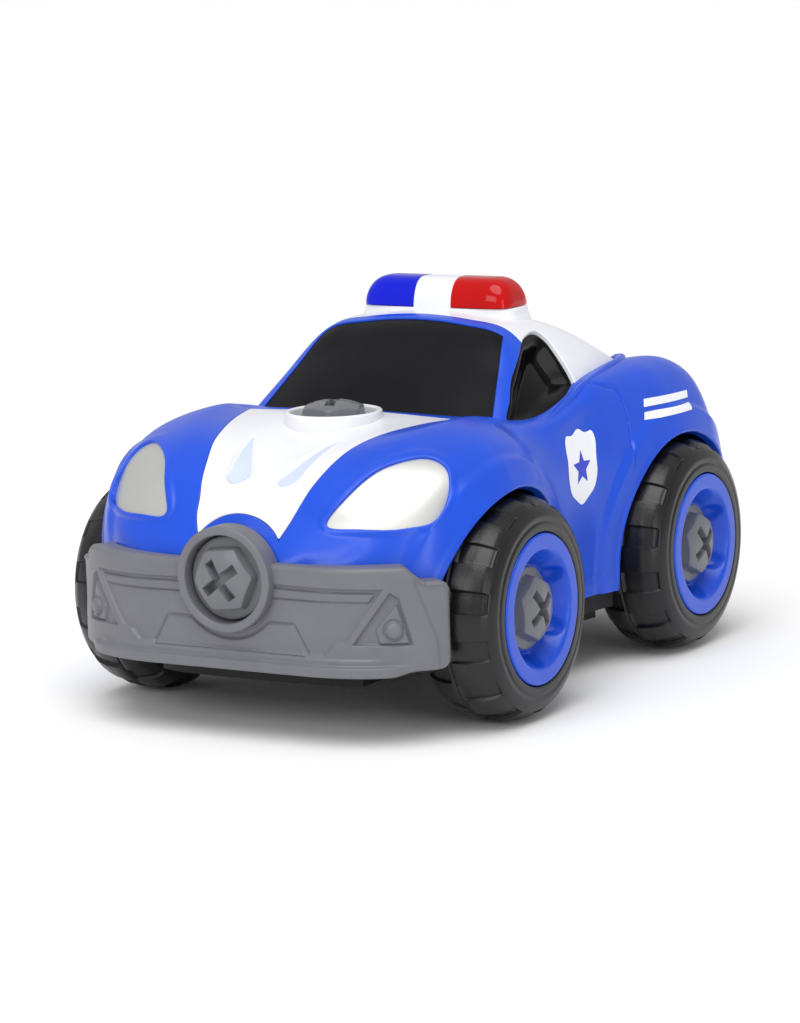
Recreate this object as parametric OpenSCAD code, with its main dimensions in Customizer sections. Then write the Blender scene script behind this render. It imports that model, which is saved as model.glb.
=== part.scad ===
// Toy police car that comes apart with a toy screwdriver.
// Lengths are millimetres, +X points forward, +Y to the car's left and +Z up.
// The origin is on the ground under the middle of the car's overall length.

/* [Overall] */
// Distance between the front and rear axles
wheelbase = 109; // [102:1:120]
// Width of the body across the wheel arches
body_w = 132; // [124:1:142]
// From the front axle to the tip of the bumper bolt
nose_reach = 59; // [57.5:0.5:63]
// From the rear axle to the back of the rear bumper
tail_reach = 47; // [45:0.5:52]
// Height of the roof above the axles
roof_rise = 76; // [72:1:84]
// Height of the wings above the axles
wing_rise = 52; // [49:0.5:56]
// Depth of the sill's lower edge below the axles
sill_drop = 9; // [6:0.5:12]
// Depth of the chassis underside below the axles
belly_drop = 18; // [15:0.5:22]
// Thickness of the moulded walls
wall = 2.2; // [1.6:0.1:2.8]
// Gap between pieces that fit into one another
gap = 0.35; // [0.25:0.05:0.5]

/* [Wheels] */
// Tyre diameter
tyre_d = 66; // [62:1:70]
// Tyre width
tyre_w = 25; // [22:1:27]
// Diameter of the rim's outer lip
rim_d = 44; // [42:1:48]
// Width of the rim's flat lip
rim_lip = 4.5; // [3:0.5:5]
// How far the wheel faces stand out past the wheel arches
wheel_proud = 6; // [4:0.5:9]
// Gap between the tyre and the wheel arch
arch_gap = 1.8; // [1.2:0.1:3]
// Number of tread bars round a tyre
tread_count = 14; // [8:1:20]
// Depth of the grooves between tread bars
tread_depth = 1.2; // [0.6:0.1:1.6]
// Number of pockets in the rim's dish
pocket_count = 6; // [4:1:8]

/* [Bolts] */
// Diameter of a bolt's flange
flange_d = 24; // [20:0.5:24.5]
// Thickness of a bolt's flange
flange_t = 2; // [1.5:0.1:2.6]
// Width of a bolt's hexagon across its corners
hex_d = 19.6; // [16:0.2:20]
// Height of a bolt's hexagon above its flange
hex_h = 5.2; // [4:0.1:6.4]
// Diameter of a bolt's shank
shank_d = 8; // [6:0.2:9]
// Length of a bolt's shank
shank_l = 32; // [28:0.5:34]
// Width of the screwdriver slots
slot_w = 2.8; // [2:0.1:3.6]
// Length of the screwdriver slots
slot_l = 13; // [9:0.5:14]
// Depth of the screwdriver slots
slot_depth = 3.5; // [2:0.1:5]
// Radial clearance of a shank in its bore
shank_play = 0.06; // [0.03:0.01:0.1]
// Outer diameter of the sockets that take the bolts
socket_d = 16; // [13:0.5:18]

/* [Bumpers] */
// How much tighter the front bumper's corners are than the nose's
bumper_square = 4; // [0:0.5:7]
// Thickness of the bumpers
bumper_t = 3.6; // [2.8:0.1:4.6]
// Depth of the bumpers' lower edge below the axles
bumper_drop = 11; // [8:0.5:13]
// Height of the bumpers' upper edge above the axles
bumper_rise = 19; // [15:0.5:20]
// How far the front bumper's top drops at its wings
wing_drop = 3.5; // [1:0.5:5]
// Height of the bumper bolt above the axles
ring_rise = 14; // [12:0.5:15]
// Outer diameter of the ring round the bumper bolt
ring_d = 30.6; // [30:0.2:33]
// Depth of the lines and recesses in the bumper's face
relief = 0.9; // [0.5:0.1:1.4]

/* [Bonnet] */
// Width of the bonnet panel at the windscreen
hood_w = 74; // [68:1:80]
// Width of the bonnet panel at its front
hood_front_w = 29; // [25:1:33]
// Thickness of the bonnet panel
hood_t = 2.4; // [1.8:0.1:3]
// Outer diameter of the collar round the bonnet bolt
collar_d = 29; // [28.4:0.2:32]
// Depth of the two scoops in the bonnet
scoop_depth = 1.2; // [0.6:0.1:1.6]

/* [Lamps] */
// Thickness of the lamp covers
lamp_t = 2; // [1.4:0.1:2.6]
// Width of the light bar across the car
bar_w = 51; // [46:1:56]
// Depth of the light bar along the car
bar_depth = 18; // [16:0.5:21]
// Height of the light bar's lenses
lens_h = 9; // [7:0.5:11]
// Width of the middle block between the lenses
bar_mid_w = 13; // [8:0.5:17]

/* [Hidden] */
$fn = 48;

blue = [0.09, 0.23, 0.86];
white = [0.93, 0.94, 0.97];
grey = [0.36, 0.36, 0.38];
black = [0.06, 0.06, 0.07];

axle_z = tyre_d / 2;
half_w = body_w / 2;
front_axle_x = (wheelbase + tail_reach - nose_reach) / 2;
rear_axle_x = front_axle_x - wheelbase;

// Places along the car are given from the nearer axle, and heights from the axle line.
// Between the axles they stretch with the wheelbase.
stretch = wheelbase / 109;
function F(d) = front_axle_x + d * (d < 0 ? stretch : 1);
function R(d) = rear_axle_x + d * (d > 0 ? stretch : 1);
function H(h) = axle_z + h;

sill_z = H(-sill_drop);
belly_z = H(-belly_drop);
bumper_z0 = H(-bumper_drop);
bumper_z1 = H(bumper_rise);
ring_z = H(ring_rise);
wing_z = H(wing_rise);
roof_z = H(roof_rise);

// Bolts seat a running gap above their floors.
head_h = flange_t + hex_h;
seat_gap = 0.3;
floor_t = 1.8;
bore_r = shank_d / 2 + shank_play;
flange_room = 0.6;
bumper_seat_x = F(nose_reach) - head_h;
ring_floor_x = bumper_seat_x - seat_gap;
hood_bolt_x = F(-7);
collar_z = wing_z + 0.4;
collar_floor_z = wing_z - 3;
hood_seat_z = collar_floor_z + seat_gap;

// Plan of the body: round corners at nose and tail, drawn in at the doors.
nose_x = ring_floor_x - floor_t - gap;
nose_bow = 1.2;
nose_cy = 17.95;
nose_r = half_w - nose_cy;
nose_cx = nose_x + nose_bow - nose_r;
tail_r = 25;
tail_x = R(-tail_reach) + bumper_t + gap;
tail_cx = tail_x - 0.8 + tail_r;
tail_cy = half_w - 0.5 - tail_r;
door_in = 9;
function N(d) = nose_x - d;
function T(d) = tail_x + d;

// Smooth row at x of a guide, a list of rows [x, ...] in rising x.
function span(t, x, i = 0) = (i >= len(t) - 2 || x < t[i + 1][0]) ? i : span(t, x, i + 1);
function slope(t, i) =
    let (a = max(i - 1, 0), b = min(i + 1, len(t) - 1))
    (t[b] - t[a]) / (t[b][0] - t[a][0]);
function guide(t, x) =
    let (i = span(t, x), h = t[i + 1][0] - t[i][0], u = (x - t[i][0]) / h)
    (1 + 2 * u) * pow(1 - u, 2) * t[i] + u * pow(1 - u, 2) * h * slope(t, i)
    + u * u * (3 - 2 * u) * t[i + 1] - u * u * (1 - u) * h * slope(t, i + 1);

// Smooth curves through a few points: half a section from the centre line out and down, or a closed outline.
steps = 3;
function spline(p0, p1, p2, p3, u) =
    p1 + 0.5 * u * (p2 - p0 + u * (2 * p0 - 5 * p1 + 4 * p2 - p3 + u * (3 * (p1 - p2) + p3 - p0)));
function half_section(p) =
    let (n = len(p), q = concat([[-p[1][0], p[1][1]]], p, [2 * p[n - 1] - p[n - 2]]))
    [for (k = [0 : n - 2]) for (s = [0 : steps - 1]) spline(q[k], q[k + 1], q[k + 2], q[k + 3], s / steps),
     p[n - 1]];
function outline(p) =
    let (n = len(p))
    [for (k = [0 : n - 1]) for (s = [0 : steps - 1])
        spline(p[(k + n - 1) % n], p[k], p[(k + 1) % n], p[(k + 2) % n], s / steps)];

// A loft is a grid of half sections. inset moves every section inwards by d and draws the two ends in by d.
function unit(v) = v / max(norm(v), 1e-6);
function inset(g, d) =
    let (n = len(g), m = len(g[0]), x0 = g[0][0][0], x1 = g[n - 1][0][0], mid = (x0 + x1) / 2,
         squeeze = 1 - 2 * d / (x1 - x0))
    [for (row = g) [for (j = [0 : m - 1])
        let (across = j == 0 ? [0, 1, 0] : row[min(j + 1, m - 1)] - row[j - 1])
        [mid + (row[j][0] - mid) * squeeze, row[j][1], row[j][2]] - d * unit([0, -across[2], across[1]])]];
function every_other(v) = [for (i = [0 : 2 : len(v) - 2]) v[i], v[len(v) - 1]];
function coarse(g) = [for (row = every_other(g)) every_other(row)];
function ring(row, base) =
    let (m = len(row), low = row[m - 1])
    concat([[low[0], -low[1], base]],
           [for (j = [m - 1 : -1 : 1]) [row[j][0], -row[j][1], row[j][2]]],
           row, [[low[0], low[1], base]]);

// Solid under a loft, mirrored about the centre line and closed by a flat floor at z = base.
module skin(g, base) {
    rings = [for (row = g) ring(row, base)];
    n = len(rings);
    k = len(rings[0]);
    function id(i, j) = i * k + j % k;
    sides = [for (i = [0 : n - 2]) for (j = [0 : k - 1])
        each [[id(i, j), id(i + 1, j + 1), id(i + 1, j)], [id(i, j), id(i, j + 1), id(i + 1, j + 1)]]];
    first = [for (j = [k - 1 : -1 : 0]) id(0, j)];
    last = [for (j = [0 : k - 1]) id(n - 1, j)];
    polyhedron([for (r = rings) for (p = r) p], concat(sides, [first, last]), convexity = 8);
}

// Guides of the body: place along the car, then height, or distance from the centre line and height.
flank = [
    [tail_cx, half_w - 0.5], [R(0), half_w], [R(14.5), half_w - 2], [R(34.5), half_w - 6.5],
    [R(46), half_w - door_in], [F(-46), half_w - door_in], [F(-34.5), half_w - 7.5],
    [F(-14.5), half_w - 1.5], [nose_cx, half_w]];
function plan_y(x) =
    x > nose_cx ? nose_cy + sqrt(max(pow(nose_r, 2) - pow(x - nose_cx, 2), 0))
    : x < tail_cx ? tail_cy + sqrt(max(pow(tail_r, 2) - pow(tail_cx - x, 2), 0))
    : guide(flank, x)[1];
middle = [
    [tail_x, wing_z - 24], [T(3), wing_z - 13], [T(13), wing_z - 3], [T(28), wing_z + 1],
    [R(0), wing_z + 1.5], [F(-50), wing_z - 2], [F(-34.5), wing_z - 3], [F(-20), wing_z - 0.5],
    [F(0), wing_z - 2.2], [F(16), wing_z - 5.5], [F(30), wing_z - 10.8], [N(8.4), wing_z - 16.8],
    [N(4.4), wing_z - 19.5], [N(1.9), wing_z - 23], [nose_x, wing_z - 28]];
hood_rear_x = F(-20);
hood_edge = [
    [hood_rear_x, hood_w / 2, wing_z - 1.7], [F(-12), hood_w / 2 - 3.5, wing_z - 1],
    [F(2), hood_w / 2 - 7.8, wing_z - 1.3], [F(13), hood_w / 2 - 11.2, wing_z - 2.4],
    [F(23), hood_front_w / 2 + 8.5, wing_z - 4.8], [F(30), hood_front_w / 2 + 6.2, wing_z - 8.4],
    [N(12.4), hood_front_w / 2 + 4, wing_z - 13.5], [N(8.4), hood_front_w / 2 + 2.4, wing_z - 18],
    [N(4.4), hood_front_w / 2 + 1.1, wing_z - 22.5], [nose_x, hood_front_w / 2 - 2, wing_z - 29]];
crest = [
    [tail_x, half_w - 34, wing_z - 25], [T(4.5), half_w - 24, wing_z - 15],
    [T(12.5), half_w - 17.5, wing_z - 3.5], [T(24.5), half_w - 16, wing_z + 3],
    [R(0), half_w - 16.5, wing_z + 5], [R(14.5), half_w - 16.5, wing_z + 4.6],
    [R(34.5), half_w - 16, wing_z + 2.5], [R(44.5), half_w - 16, wing_z - 1],
    [F(-46.5), half_w - 16.5, wing_z - 4.7], [F(-34.5), half_w - 19, wing_z - 4.2],
    [F(-24.5), hood_w / 2 + 8, wing_z - 2], [F(-14.5), hood_w / 2 + 7.5, wing_z],
    [F(0), hood_w / 2 + 6.5, wing_z], [F(15.5), hood_w / 2 + 2.5, wing_z - 2.5],
    [F(25.5), hood_front_w / 2 + 21.5, wing_z - 6.2], [N(13.9), hood_front_w / 2 + 17.5, wing_z - 13],
    [N(8.4), hood_front_w / 2 + 14.5, wing_z - 18.7], [N(5.4), hood_front_w / 2 + 11.5, wing_z - 23],
    [nose_x, hood_front_w / 2 + 5.5, wing_z - 30]];
// The shoulder is given by how far it lies inside the plan of the body.
shoulder = [
    [tail_x, 6, wing_z - 32], [T(4.5), 5, wing_z - 25], [T(12.5), 5, wing_z - 13.5],
    [T(24.5), 5, wing_z - 7], [R(0), 6, wing_z - 4.4], [R(14.5), 6, wing_z - 4],
    [R(34.5), 4, wing_z - 6], [R(44.5), 3, wing_z - 9], [F(-46.5), 3, wing_z - 12],
    [F(-34.5), 4.2, wing_z - 12], [F(-24.5), 5, wing_z - 12], [F(-14.5), 5.5, wing_z - 9.5],
    [F(0), 6, wing_z - 8.5], [F(15.5), 6.7, wing_z - 11], [F(25.5), 7, wing_z - 14.5],
    [N(13.9), 6.9, wing_z - 20], [N(8.4), 6.6, wing_z - 24], [N(5.4), 6, wing_z - 27.5],
    [nose_x, 4, wing_z - 33]];
waist = [
    [tail_x, H(11)], [T(12.5), H(19)], [R(0), H(24)], [R(34.5), H(25)], [F(-46.5), H(21)],
    [F(-24.5), H(20)], [F(0), H(22)], [F(25.5), H(19.5)], [N(5.4), H(16)], [nose_x, H(14)]];
tuck = 1.5;
// The sections bend a little inside the bonnet's edge.
edge_in = 1.6;
function body_points(x) =
    let (e = guide(hood_edge, max(x, hood_rear_x)), c = guide(crest, x), s = guide(shoulder, x),
         w = plan_y(x), m = guide(middle, x)[1])
    [[0, m], x < hood_rear_x ? [0.62 * c[1], (m + c[2] - 1) / 2] : [e[1] - edge_in, e[2]], [c[1], c[2]],
     [w - s[1], s[2]], [w, guide(waist, x)[1]], [w - tuck, sill_z]];
stations = concat(
    [for (a = [0, 14, 34, 62]) tail_cx - (tail_cx - tail_x) * cos(a)],
    [for (i = [0 : 12]) tail_cx + (nose_cx - tail_cx) * i / 12],
    [for (a = [75, 60, 46, 34, 23, 13, 0]) nose_cx + (nose_x - nose_cx) * cos(a)]);
body_grid = [for (x = stations) [for (p = half_section(body_points(x))) [x, p[0], p[1]]]];
module body_solid(d = 0, base = sill_z) { skin(inset(body_grid, d), base); }
// The same surface cut short, for pieces that sit in the nose, the tail or the bonnet.
module nose_solid(d) { skin([for (r = inset(body_grid, d)) if (r[0][0] > F(8)) r], sill_z); }
module tail_solid(d) { skin([for (r = inset(body_grid, d)) if (r[0][0] < R(-8)) r], sill_z); }
hood_columns = 2 * steps + 2;
module hood_solid(d) {
    skin([for (r = inset(body_grid, d)) if (r[0][0] > F(-32)) [for (j = [0 : hood_columns]) r[j]]], H(0));
}

// Guides of the cabin above the belt line.
cab_tail_x = R(-14);
cab_nose_x = F(-20);
cab_middle = [
    [cab_tail_x, wing_z + 1], [R(-2), roof_z - 15], [R(15), roof_z - 5.8], [R(30), roof_z - 1],
    [F(-66), roof_z], [F(-58), roof_z - 0.7], [F(-52), roof_z - 3], [F(-45), roof_z - 8],
    [F(-35), roof_z - 15.7], [F(-25), roof_z - 24.5], [cab_nose_x, roof_z - 29]];
cab_edge = [
    [cab_tail_x, 38, wing_z - 1], [R(-2), 37, roof_z - 18], [R(15), 33, roof_z - 9],
    [R(30), 30.5, roof_z - 4.8], [F(-56.4), 30.9, roof_z - 5.4], [F(-43.5), 35.3, roof_z - 16],
    [F(-30.5), 39.6, roof_z - 27.3], [cab_nose_x, 42, roof_z - 36]];
cab_base = [
    [cab_tail_x, half_w - 22, wing_z - 8], [R(0), half_w - 19, wing_z - 5], [R(34.5), half_w - 17, wing_z - 2],
    [F(-46.5), half_w - 17, wing_z - 7], [cab_nose_x, half_w - 20, wing_z - 12]];
function cab_points(x) =
    let (m = guide(cab_middle, x)[1], e = guide(cab_edge, x), b = guide(cab_base, x))
    [[0, m], [0.55 * e[1], 0.72 * m + 0.28 * e[2]], [e[1], e[2]],
     [(e[1] + b[1]) / 2 + 1, (e[2] + b[2]) / 2 + 1], [b[1], b[2]]];
cab_rows = 12;
cab_grid = [for (i = [0 : cab_rows])
    let (x = cab_tail_x + (cab_nose_x - cab_tail_x) * i / cab_rows)
    [for (p = half_section(cab_points(x))) [x, p[0], p[1]]]];
well_z = wing_z - 9;
cab_floor_z = wing_z - 14;
module cab_solid(d = 0) { skin(inset(cab_grid, d), cab_floor_z); }
// Room inside the cabin, down to a flat floor.
module cab_room(d) {
    intersection() {
        skin(inset(coarse(cab_grid), d), cab_floor_z);
        translate([R(-tail_reach), -half_w, well_z]) cube([wheelbase + tail_reach, body_w, roof_rise]);
    }
}

// One moulding with freeform faces.
module moulded() { resize([0, 0, 0]) children(); }

// Outlines that pieces of the body share with their openings. grow widens an outline by a clearance.
module both_sides() { children(); mirror([0, 1, 0]) children(); }
module hood_zone(grow = 0) {
    rows = [for (i = [0 : 20])
        let (x = hood_rear_x + (nose_x - hood_rear_x) * i / 20)
        [i == 0 ? x - grow : x, guide(hood_edge, x)[1] + grow]];
    edge = concat(rows, [[nose_x + 5, hood_front_w / 2 - 2 + grow]]);
    difference() {
        translate([0, 0, ring_z])
            linear_extrude(wing_rise)
                polygon(concat(edge, [for (i = [len(edge) - 1 : -1 : 0]) [edge[i][0], -edge[i][1]]]));
        translate([F(20), 0, ring_z])
            along_x() cylinder(h = nose_reach, d = ring_d + 4 - 2 * grow);
    }
}
lamp_turn = 35;
lamp_outline = outline([
    [-3, 29.3], [3, 36.5], [13, 43.3], [25, 45.9], [31.5, 43.6],
    [32, 38], [27.5, 30.4], [18, 28.4], [6, 28.5]]);
module headlamp_zone(grow = 0) {
    translate([F(0), 0, H(0)])
        rotate([90, 0, 90 + lamp_turn])
            linear_extrude(80)
                offset(delta = grow)
                    polygon(lamp_outline);
}
tail_lamp_y = half_w - 21;
tail_lamp_z = H(29);
module tail_lamp_zone(grow = 0) {
    translate([T(20), tail_lamp_y, tail_lamp_z])
        rotate([90, 0, -90])
            linear_extrude(tail_reach)
                offset(r = 4 + grow, $fn = 16)
                    square([10, 5], center = true);
}
header_x = F(-56.2);
header_w = 4.3;
glass_front_x = F(-23.7);
glass_bow = 7.3;
glass_low_y = 40;
glass_top_y = 31;
module windscreen_zone(grow = 0) {
    front = [for (a = [-1 : 0.125 : 1]) [glass_front_x - glass_bow * a * a, a * glass_low_y]];
    translate([0, 0, well_z + 1])
        linear_extrude(roof_rise)
            offset(delta = grow)
                polygon(concat(front, [[header_x, glass_top_y], [header_x, -glass_top_y]]));
}
window_outline = outline([
    [F(-33), H(47)], [F(-45.8), H(58.7)], [F(-61.8), H(68)], [R(37), H(69.7)], [R(31), H(68)],
    [R(35), H(57.5)], [R(44.8), H(51.6)], [F(-55.1), H(48.2)], [F(-43), H(45.6)]]);
module window_zone() {
    rotate([90, 0, 0])
        linear_extrude(body_w, center = true)
            polygon(window_outline);
}
roof_low = [
    [R(-20), wing_z + 3.5], [R(7.3), wing_z + 5.4], [R(22.3), wing_z + 4.4], [R(36), wing_z + 2.2],
    [F(-60.5), wing_z + 12]];
module roof_zone(grow = 0) {
    rotate([90, 0, 0])
        linear_extrude(body_w, center = true)
            offset(delta = grow)
                polygon(concat(roof_low, [[header_x - header_w, roof_z + 9], [R(-20), roof_z + 9]]));
}

// Wheels turn on their bolts, which screw into sockets on the chassis.
wheel_y = half_w + wheel_proud;
wheel_inner_y = wheel_y - tyre_w;
wheel_seat_y = wheel_y + 0.3 - head_h;
arch_r = tyre_d / 2 + arch_gap;
well_y = wheel_inner_y - 4.5;
hub_inner_y = wheel_inner_y - 1.7;
socket_end_y = hub_inner_y - 0.4;
module at_axles() { for (x = [front_axle_x, rear_axle_x]) translate([x, 0, axle_z]) children(); }
module along_y() { rotate([-90, 0, 0]) children(); }
module along_x() { rotate([0, 90, 0]) children(); }
module wheel_room(r, y) {
    both_sides()
        at_axles() {
            translate([0, y, 0]) along_y() cylinder(h = half_w, r = r);
            translate([-r, y, -axle_z]) cube([2 * r, half_w, axle_z]);
        }
}

post_d = 9;
post_in = arch_r + 7.2;
post_x = [front_axle_x - post_in, rear_axle_x + post_in];
post_y = half_w - 24;
screw_d = 3;
socket_slack = 1;

body_t = hood_t + gap + wall;
module body_cavity() {
    difference() {
        skin(inset(coarse(body_grid), body_t), sill_z - 9);
        wheel_room(arch_r + wall, well_y - wall);
        cab_well(wall);
    }
}
// Block under the cabin whose flat floor carries the insert.
module cab_well(grow) {
    low_y = half_w - 21;
    translate([0, 0, well_z - grow])
        linear_extrude(roof_rise)
            offset(delta = grow)
                polygon([[R(-9), low_y - 3], [F(-46), low_y], [F(-27), low_y - 4],
                         [F(-27), 4 - low_y], [F(-46), -low_y], [R(-9), 3 - low_y]]);
}

bead_r = 1.2;
bead_path = [
    [F(-31), half_w - 17.5, H(46.6)], [F(-41), half_w - 16, H(45)], [F(-52), half_w - 16.5, H(47.3)],
    [R(43), half_w - 17, H(51.6)], [R(34), half_w - 17.2, H(54)], [R(20), half_w - 18.5, H(56)],
    [R(6), half_w - 20.5, H(57)], [R(-6), half_w - 25, H(56.6)], [R(-15), half_w - 34, H(54.5)]];
// Raised rim along the belt line, swept as a round bar.
module belt_bead() {
    sides = 6;
    n = len(bead_path);
    fine = [for (k = [0 : n - 2]) for (s = [0, 0.5])
        spline(bead_path[max(k - 1, 0)], bead_path[k], bead_path[k + 1], bead_path[min(k + 2, n - 1)], s)];
    path = concat(fine, [bead_path[n - 1]]);
    m = len(path);
    points = [for (i = [0 : m - 1])
        let (t = unit(path[min(i + 1, m - 1)] - path[max(i - 1, 0)]),
             a = unit(cross(t, [0, 0, 1])), b = cross(a, t))
        for (s = [0 : sides - 1]) path[i] + bead_r * (a * cos(360 * s / sides) + b * sin(360 * s / sides))];
    function id(i, s) = i * sides + s % sides;
    faces = [for (i = [0 : m - 2]) for (s = [0 : sides - 1])
        each [[id(i, s), id(i + 1, s + 1), id(i + 1, s)], [id(i, s), id(i, s + 1), id(i + 1, s + 1)]]];
    ends = [[for (s = [sides - 1 : -1 : 0]) id(0, s)], [for (s = [0 : sides - 1]) id(m - 1, s)]];
    polyhedron(points, concat(faces, ends));
}
// Rim of each wheel arch, kept just outside the body's plan and clear of both bumpers.
module body_plan(grow) {
    offset(delta = grow)
        polygon([for (side = [1, -1]) for (i = [0 : len(stations) - 1])
            let (x = stations[side > 0 ? i : len(stations) - 1 - i])
            [x, side * plan_y(x)]]);
}
lip_w = 4;
module arch_lips() {
    intersection() {
        both_sides()
            at_axles()
                translate([0, half_w - 12, 0])
                    along_y()
                        cylinder(h = 16, r1 = arch_r + lip_w + 2, r2 = arch_r + lip_w - 2);
        translate([0, 0, sill_z]) linear_extrude(tyre_d) body_plan(0.8);
        translate([rear_bumper_end_x + gap, -body_w, 0])
            cube([bumper_end_x - rear_bumper_end_x - 2 * gap, 2 * body_w, roof_z]);
    }
}
module screw_posts() {
    web_l = half_w - door_in - wall - post_y;
    for (x = post_x, side = [-1, 1])
        translate([x, side * post_y, sill_z + 0.2]) {
            difference() {
                cylinder(h = 24, d = post_d, $fn = 20);
                translate([0, 0, -1]) cylinder(h = 18, d = screw_d - 0.4, $fn = 20);
            }
            for (z = [7, 17])
                scale([1, side, 1])
                    translate([-1, post_d / 2 - 1, z]) cube([2, web_l - post_d / 2 + 1, 4]);
        }
}
module lamp_rim() {
    intersection() {
        difference() {
            headlamp_zone(2.6);
            headlamp_zone(0);
        }
        difference() {
            nose_solid(-0.7);
            nose_solid(1);
        }
    }
}
module body_shell() {
    color(blue)
        moulded() {
            difference() {
                union() {
                    body_solid();
                    difference() {
                        union() {
                            cab_solid();
                            both_sides() belt_bead();
                        }
                        roof_zone(gap);
                    }
                    arch_lips();
                    both_sides() lamp_rim();
                }
                body_cavity();
                cab_room(wall);
                window_zone();
                windscreen_zone(gap);
                difference() {
                    hood_zone(gap);
                    hood_solid(hood_t + gap);
                }
                both_sides()
                    difference() {
                        headlamp_zone(gap);
                        nose_solid(lamp_t + gap);
                    }
                both_sides()
                    difference() {
                        tail_lamp_zone(gap);
                        tail_solid(lamp_t + gap);
                    }
                wheel_room(arch_r, well_y);
                both_sides()
                    at_axles() {
                        translate([0, well_y - 2 * wall, 0])
                            along_y() cylinder(h = 4 * wall, d = socket_d + 2 * socket_slack, $fn = 32);
                        translate([-socket_d / 2 - socket_slack, well_y - 2 * wall, -axle_z])
                            cube([socket_d + 2 * socket_slack, 4 * wall, axle_z]);
                    }
                translate([hood_bolt_x, 0, H(0)]) cylinder(h = wing_rise + 9, d = collar_d + 2 * gap);
                translate([F(30), 0, ring_z]) along_x() cylinder(h = nose_reach, d = socket_d + 2 * socket_slack);
            }
            screw_posts();
        }
}

// Gloss black insert that shows through the side windows and holds the roof's two pegs.
insert_depth = 6;
peg_d = 6;
peg_y = 14;
peg_x = R(34);
module roof_pegs(grow, low, high) {
    both_sides()
        translate([peg_x, peg_y, low]) cylinder(h = high - low, d = peg_d + 2 * grow);
}
module cabin_insert() {
    color(black)
        moulded()
            difference() {
                cab_room(insert_depth);
                roof_pegs(gap, well_z + 9, roof_z);
            }
}
module windscreen() {
    color(black)
        moulded()
            intersection() {
                windscreen_zone();
                difference() {
                    cab_solid(gap);
                    cab_room(wall);
                }
            }
}
module roof_panel() {
    color(white)
        moulded() {
            difference() {
                intersection() {
                    cab_solid();
                    roof_zone();
                }
                cab_room(wall);
                window_zone();
            }
            roof_pegs(0, well_z + 10, roof_z - 2.9);
        }
}

bar_x = R(32.5);
bar_z = roof_z + 0.7;
module bar_plan() {
    offset(r = 6)
        square([bar_depth - 12, bar_w + 2 - 12], center = true);
}
module lightbar_base() {
    color(white)
        moulded() {
            difference() {
                translate([bar_x, 0, roof_z - 8]) linear_extrude(bar_z - roof_z + 8) bar_plan();
                cab_solid(-gap);
            }
            translate([bar_x, 0, bar_z])
                intersection() {
                    lens_dome(1);
                    translate([-bar_depth, -bar_mid_w / 2 + gap, -1])
                        cube([2 * bar_depth, bar_mid_w - 2 * gap, 2 * lens_h]);
                }
        }
}
// One lens reaches from the middle block to a round end. side is 1 on the left and -1 on the right.
module lens_dome(side) {
    r = 5;
    hull()
        for (y = [-side * bar_w / 2, side * bar_w / 2], x = [-1, 1]) {
            translate([x * (bar_depth / 2 - r - 2), y - sign(y) * (r + 1.5), lens_h - r]) sphere(r, $fn = 24);
            translate([x * (bar_depth / 2 - r), y - sign(y) * r, -0.5]) cylinder(h = 1.5, r = r, $fn = 24);
        }
}
module lens(side) {
    translate([bar_x, 0, bar_z])
        moulded() intersection() {
            lens_dome(side);
            translate([-bar_depth, side > 0 ? bar_mid_w / 2 : -bar_w, gap / 2])
                cube([2 * bar_depth, bar_w - bar_mid_w / 2, 2 * lens_h]);
        }
}
module lens_red() { color("red") lens(1); }
module lens_blue() { color("blue") lens(-1); }

module headlamp() {
    moulded()
        intersection() {
            headlamp_zone();
            difference() {
                nose_solid(gap);
                nose_solid(lamp_t);
            }
        }
}
module tail_lamp() {
    moulded()
        intersection() {
            tail_lamp_zone();
            difference() {
                tail_solid(-0.4);
                tail_solid(lamp_t);
            }
        }
}
module headlamp_left() { color("silver") headlamp(); }
module headlamp_right() { color("silver") mirror([0, 1, 0]) headlamp(); }
module tail_lamp_left() { color("darkred") tail_lamp(); }
module tail_lamp_right() { color("darkred") mirror([0, 1, 0]) tail_lamp(); }

// Plan with two round corners, for the bumpers and the ends of the chassis.
module corner_plan(cx, cy, r, dir) {
    for (y = [-cy, cy]) translate([cx, y]) circle(r, $fn = 96);
    translate([dir > 0 ? cx : cx - r, -cy]) square([r, 2 * cy]);
}
// The front bumper's corners are squarer than the nose that it hangs on, so its wings are thick.
bumper_end_x = F(arch_r + 0.6);
face_x = nose_x + nose_bow + gap + bumper_t;
bumper_r = nose_r - bumper_square;
bumper_cx = face_x - bumper_r;
bumper_cy = nose_cy + 2 * bumper_square;
chin_h = 3;
chin_reach = 1.6;
module bumper_wrap(r, z0, z1) {
    translate([0, 0, z0])
        linear_extrude(z1 - z0)
            intersection() {
                difference() {
                    corner_plan(bumper_cx, bumper_cy, r, 1);
                    corner_plan(nose_cx, nose_cy, nose_r + gap, 1);
                }
                translate([bumper_end_x, -body_w]) square([nose_reach, 2 * body_w]);
            }
}
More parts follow.
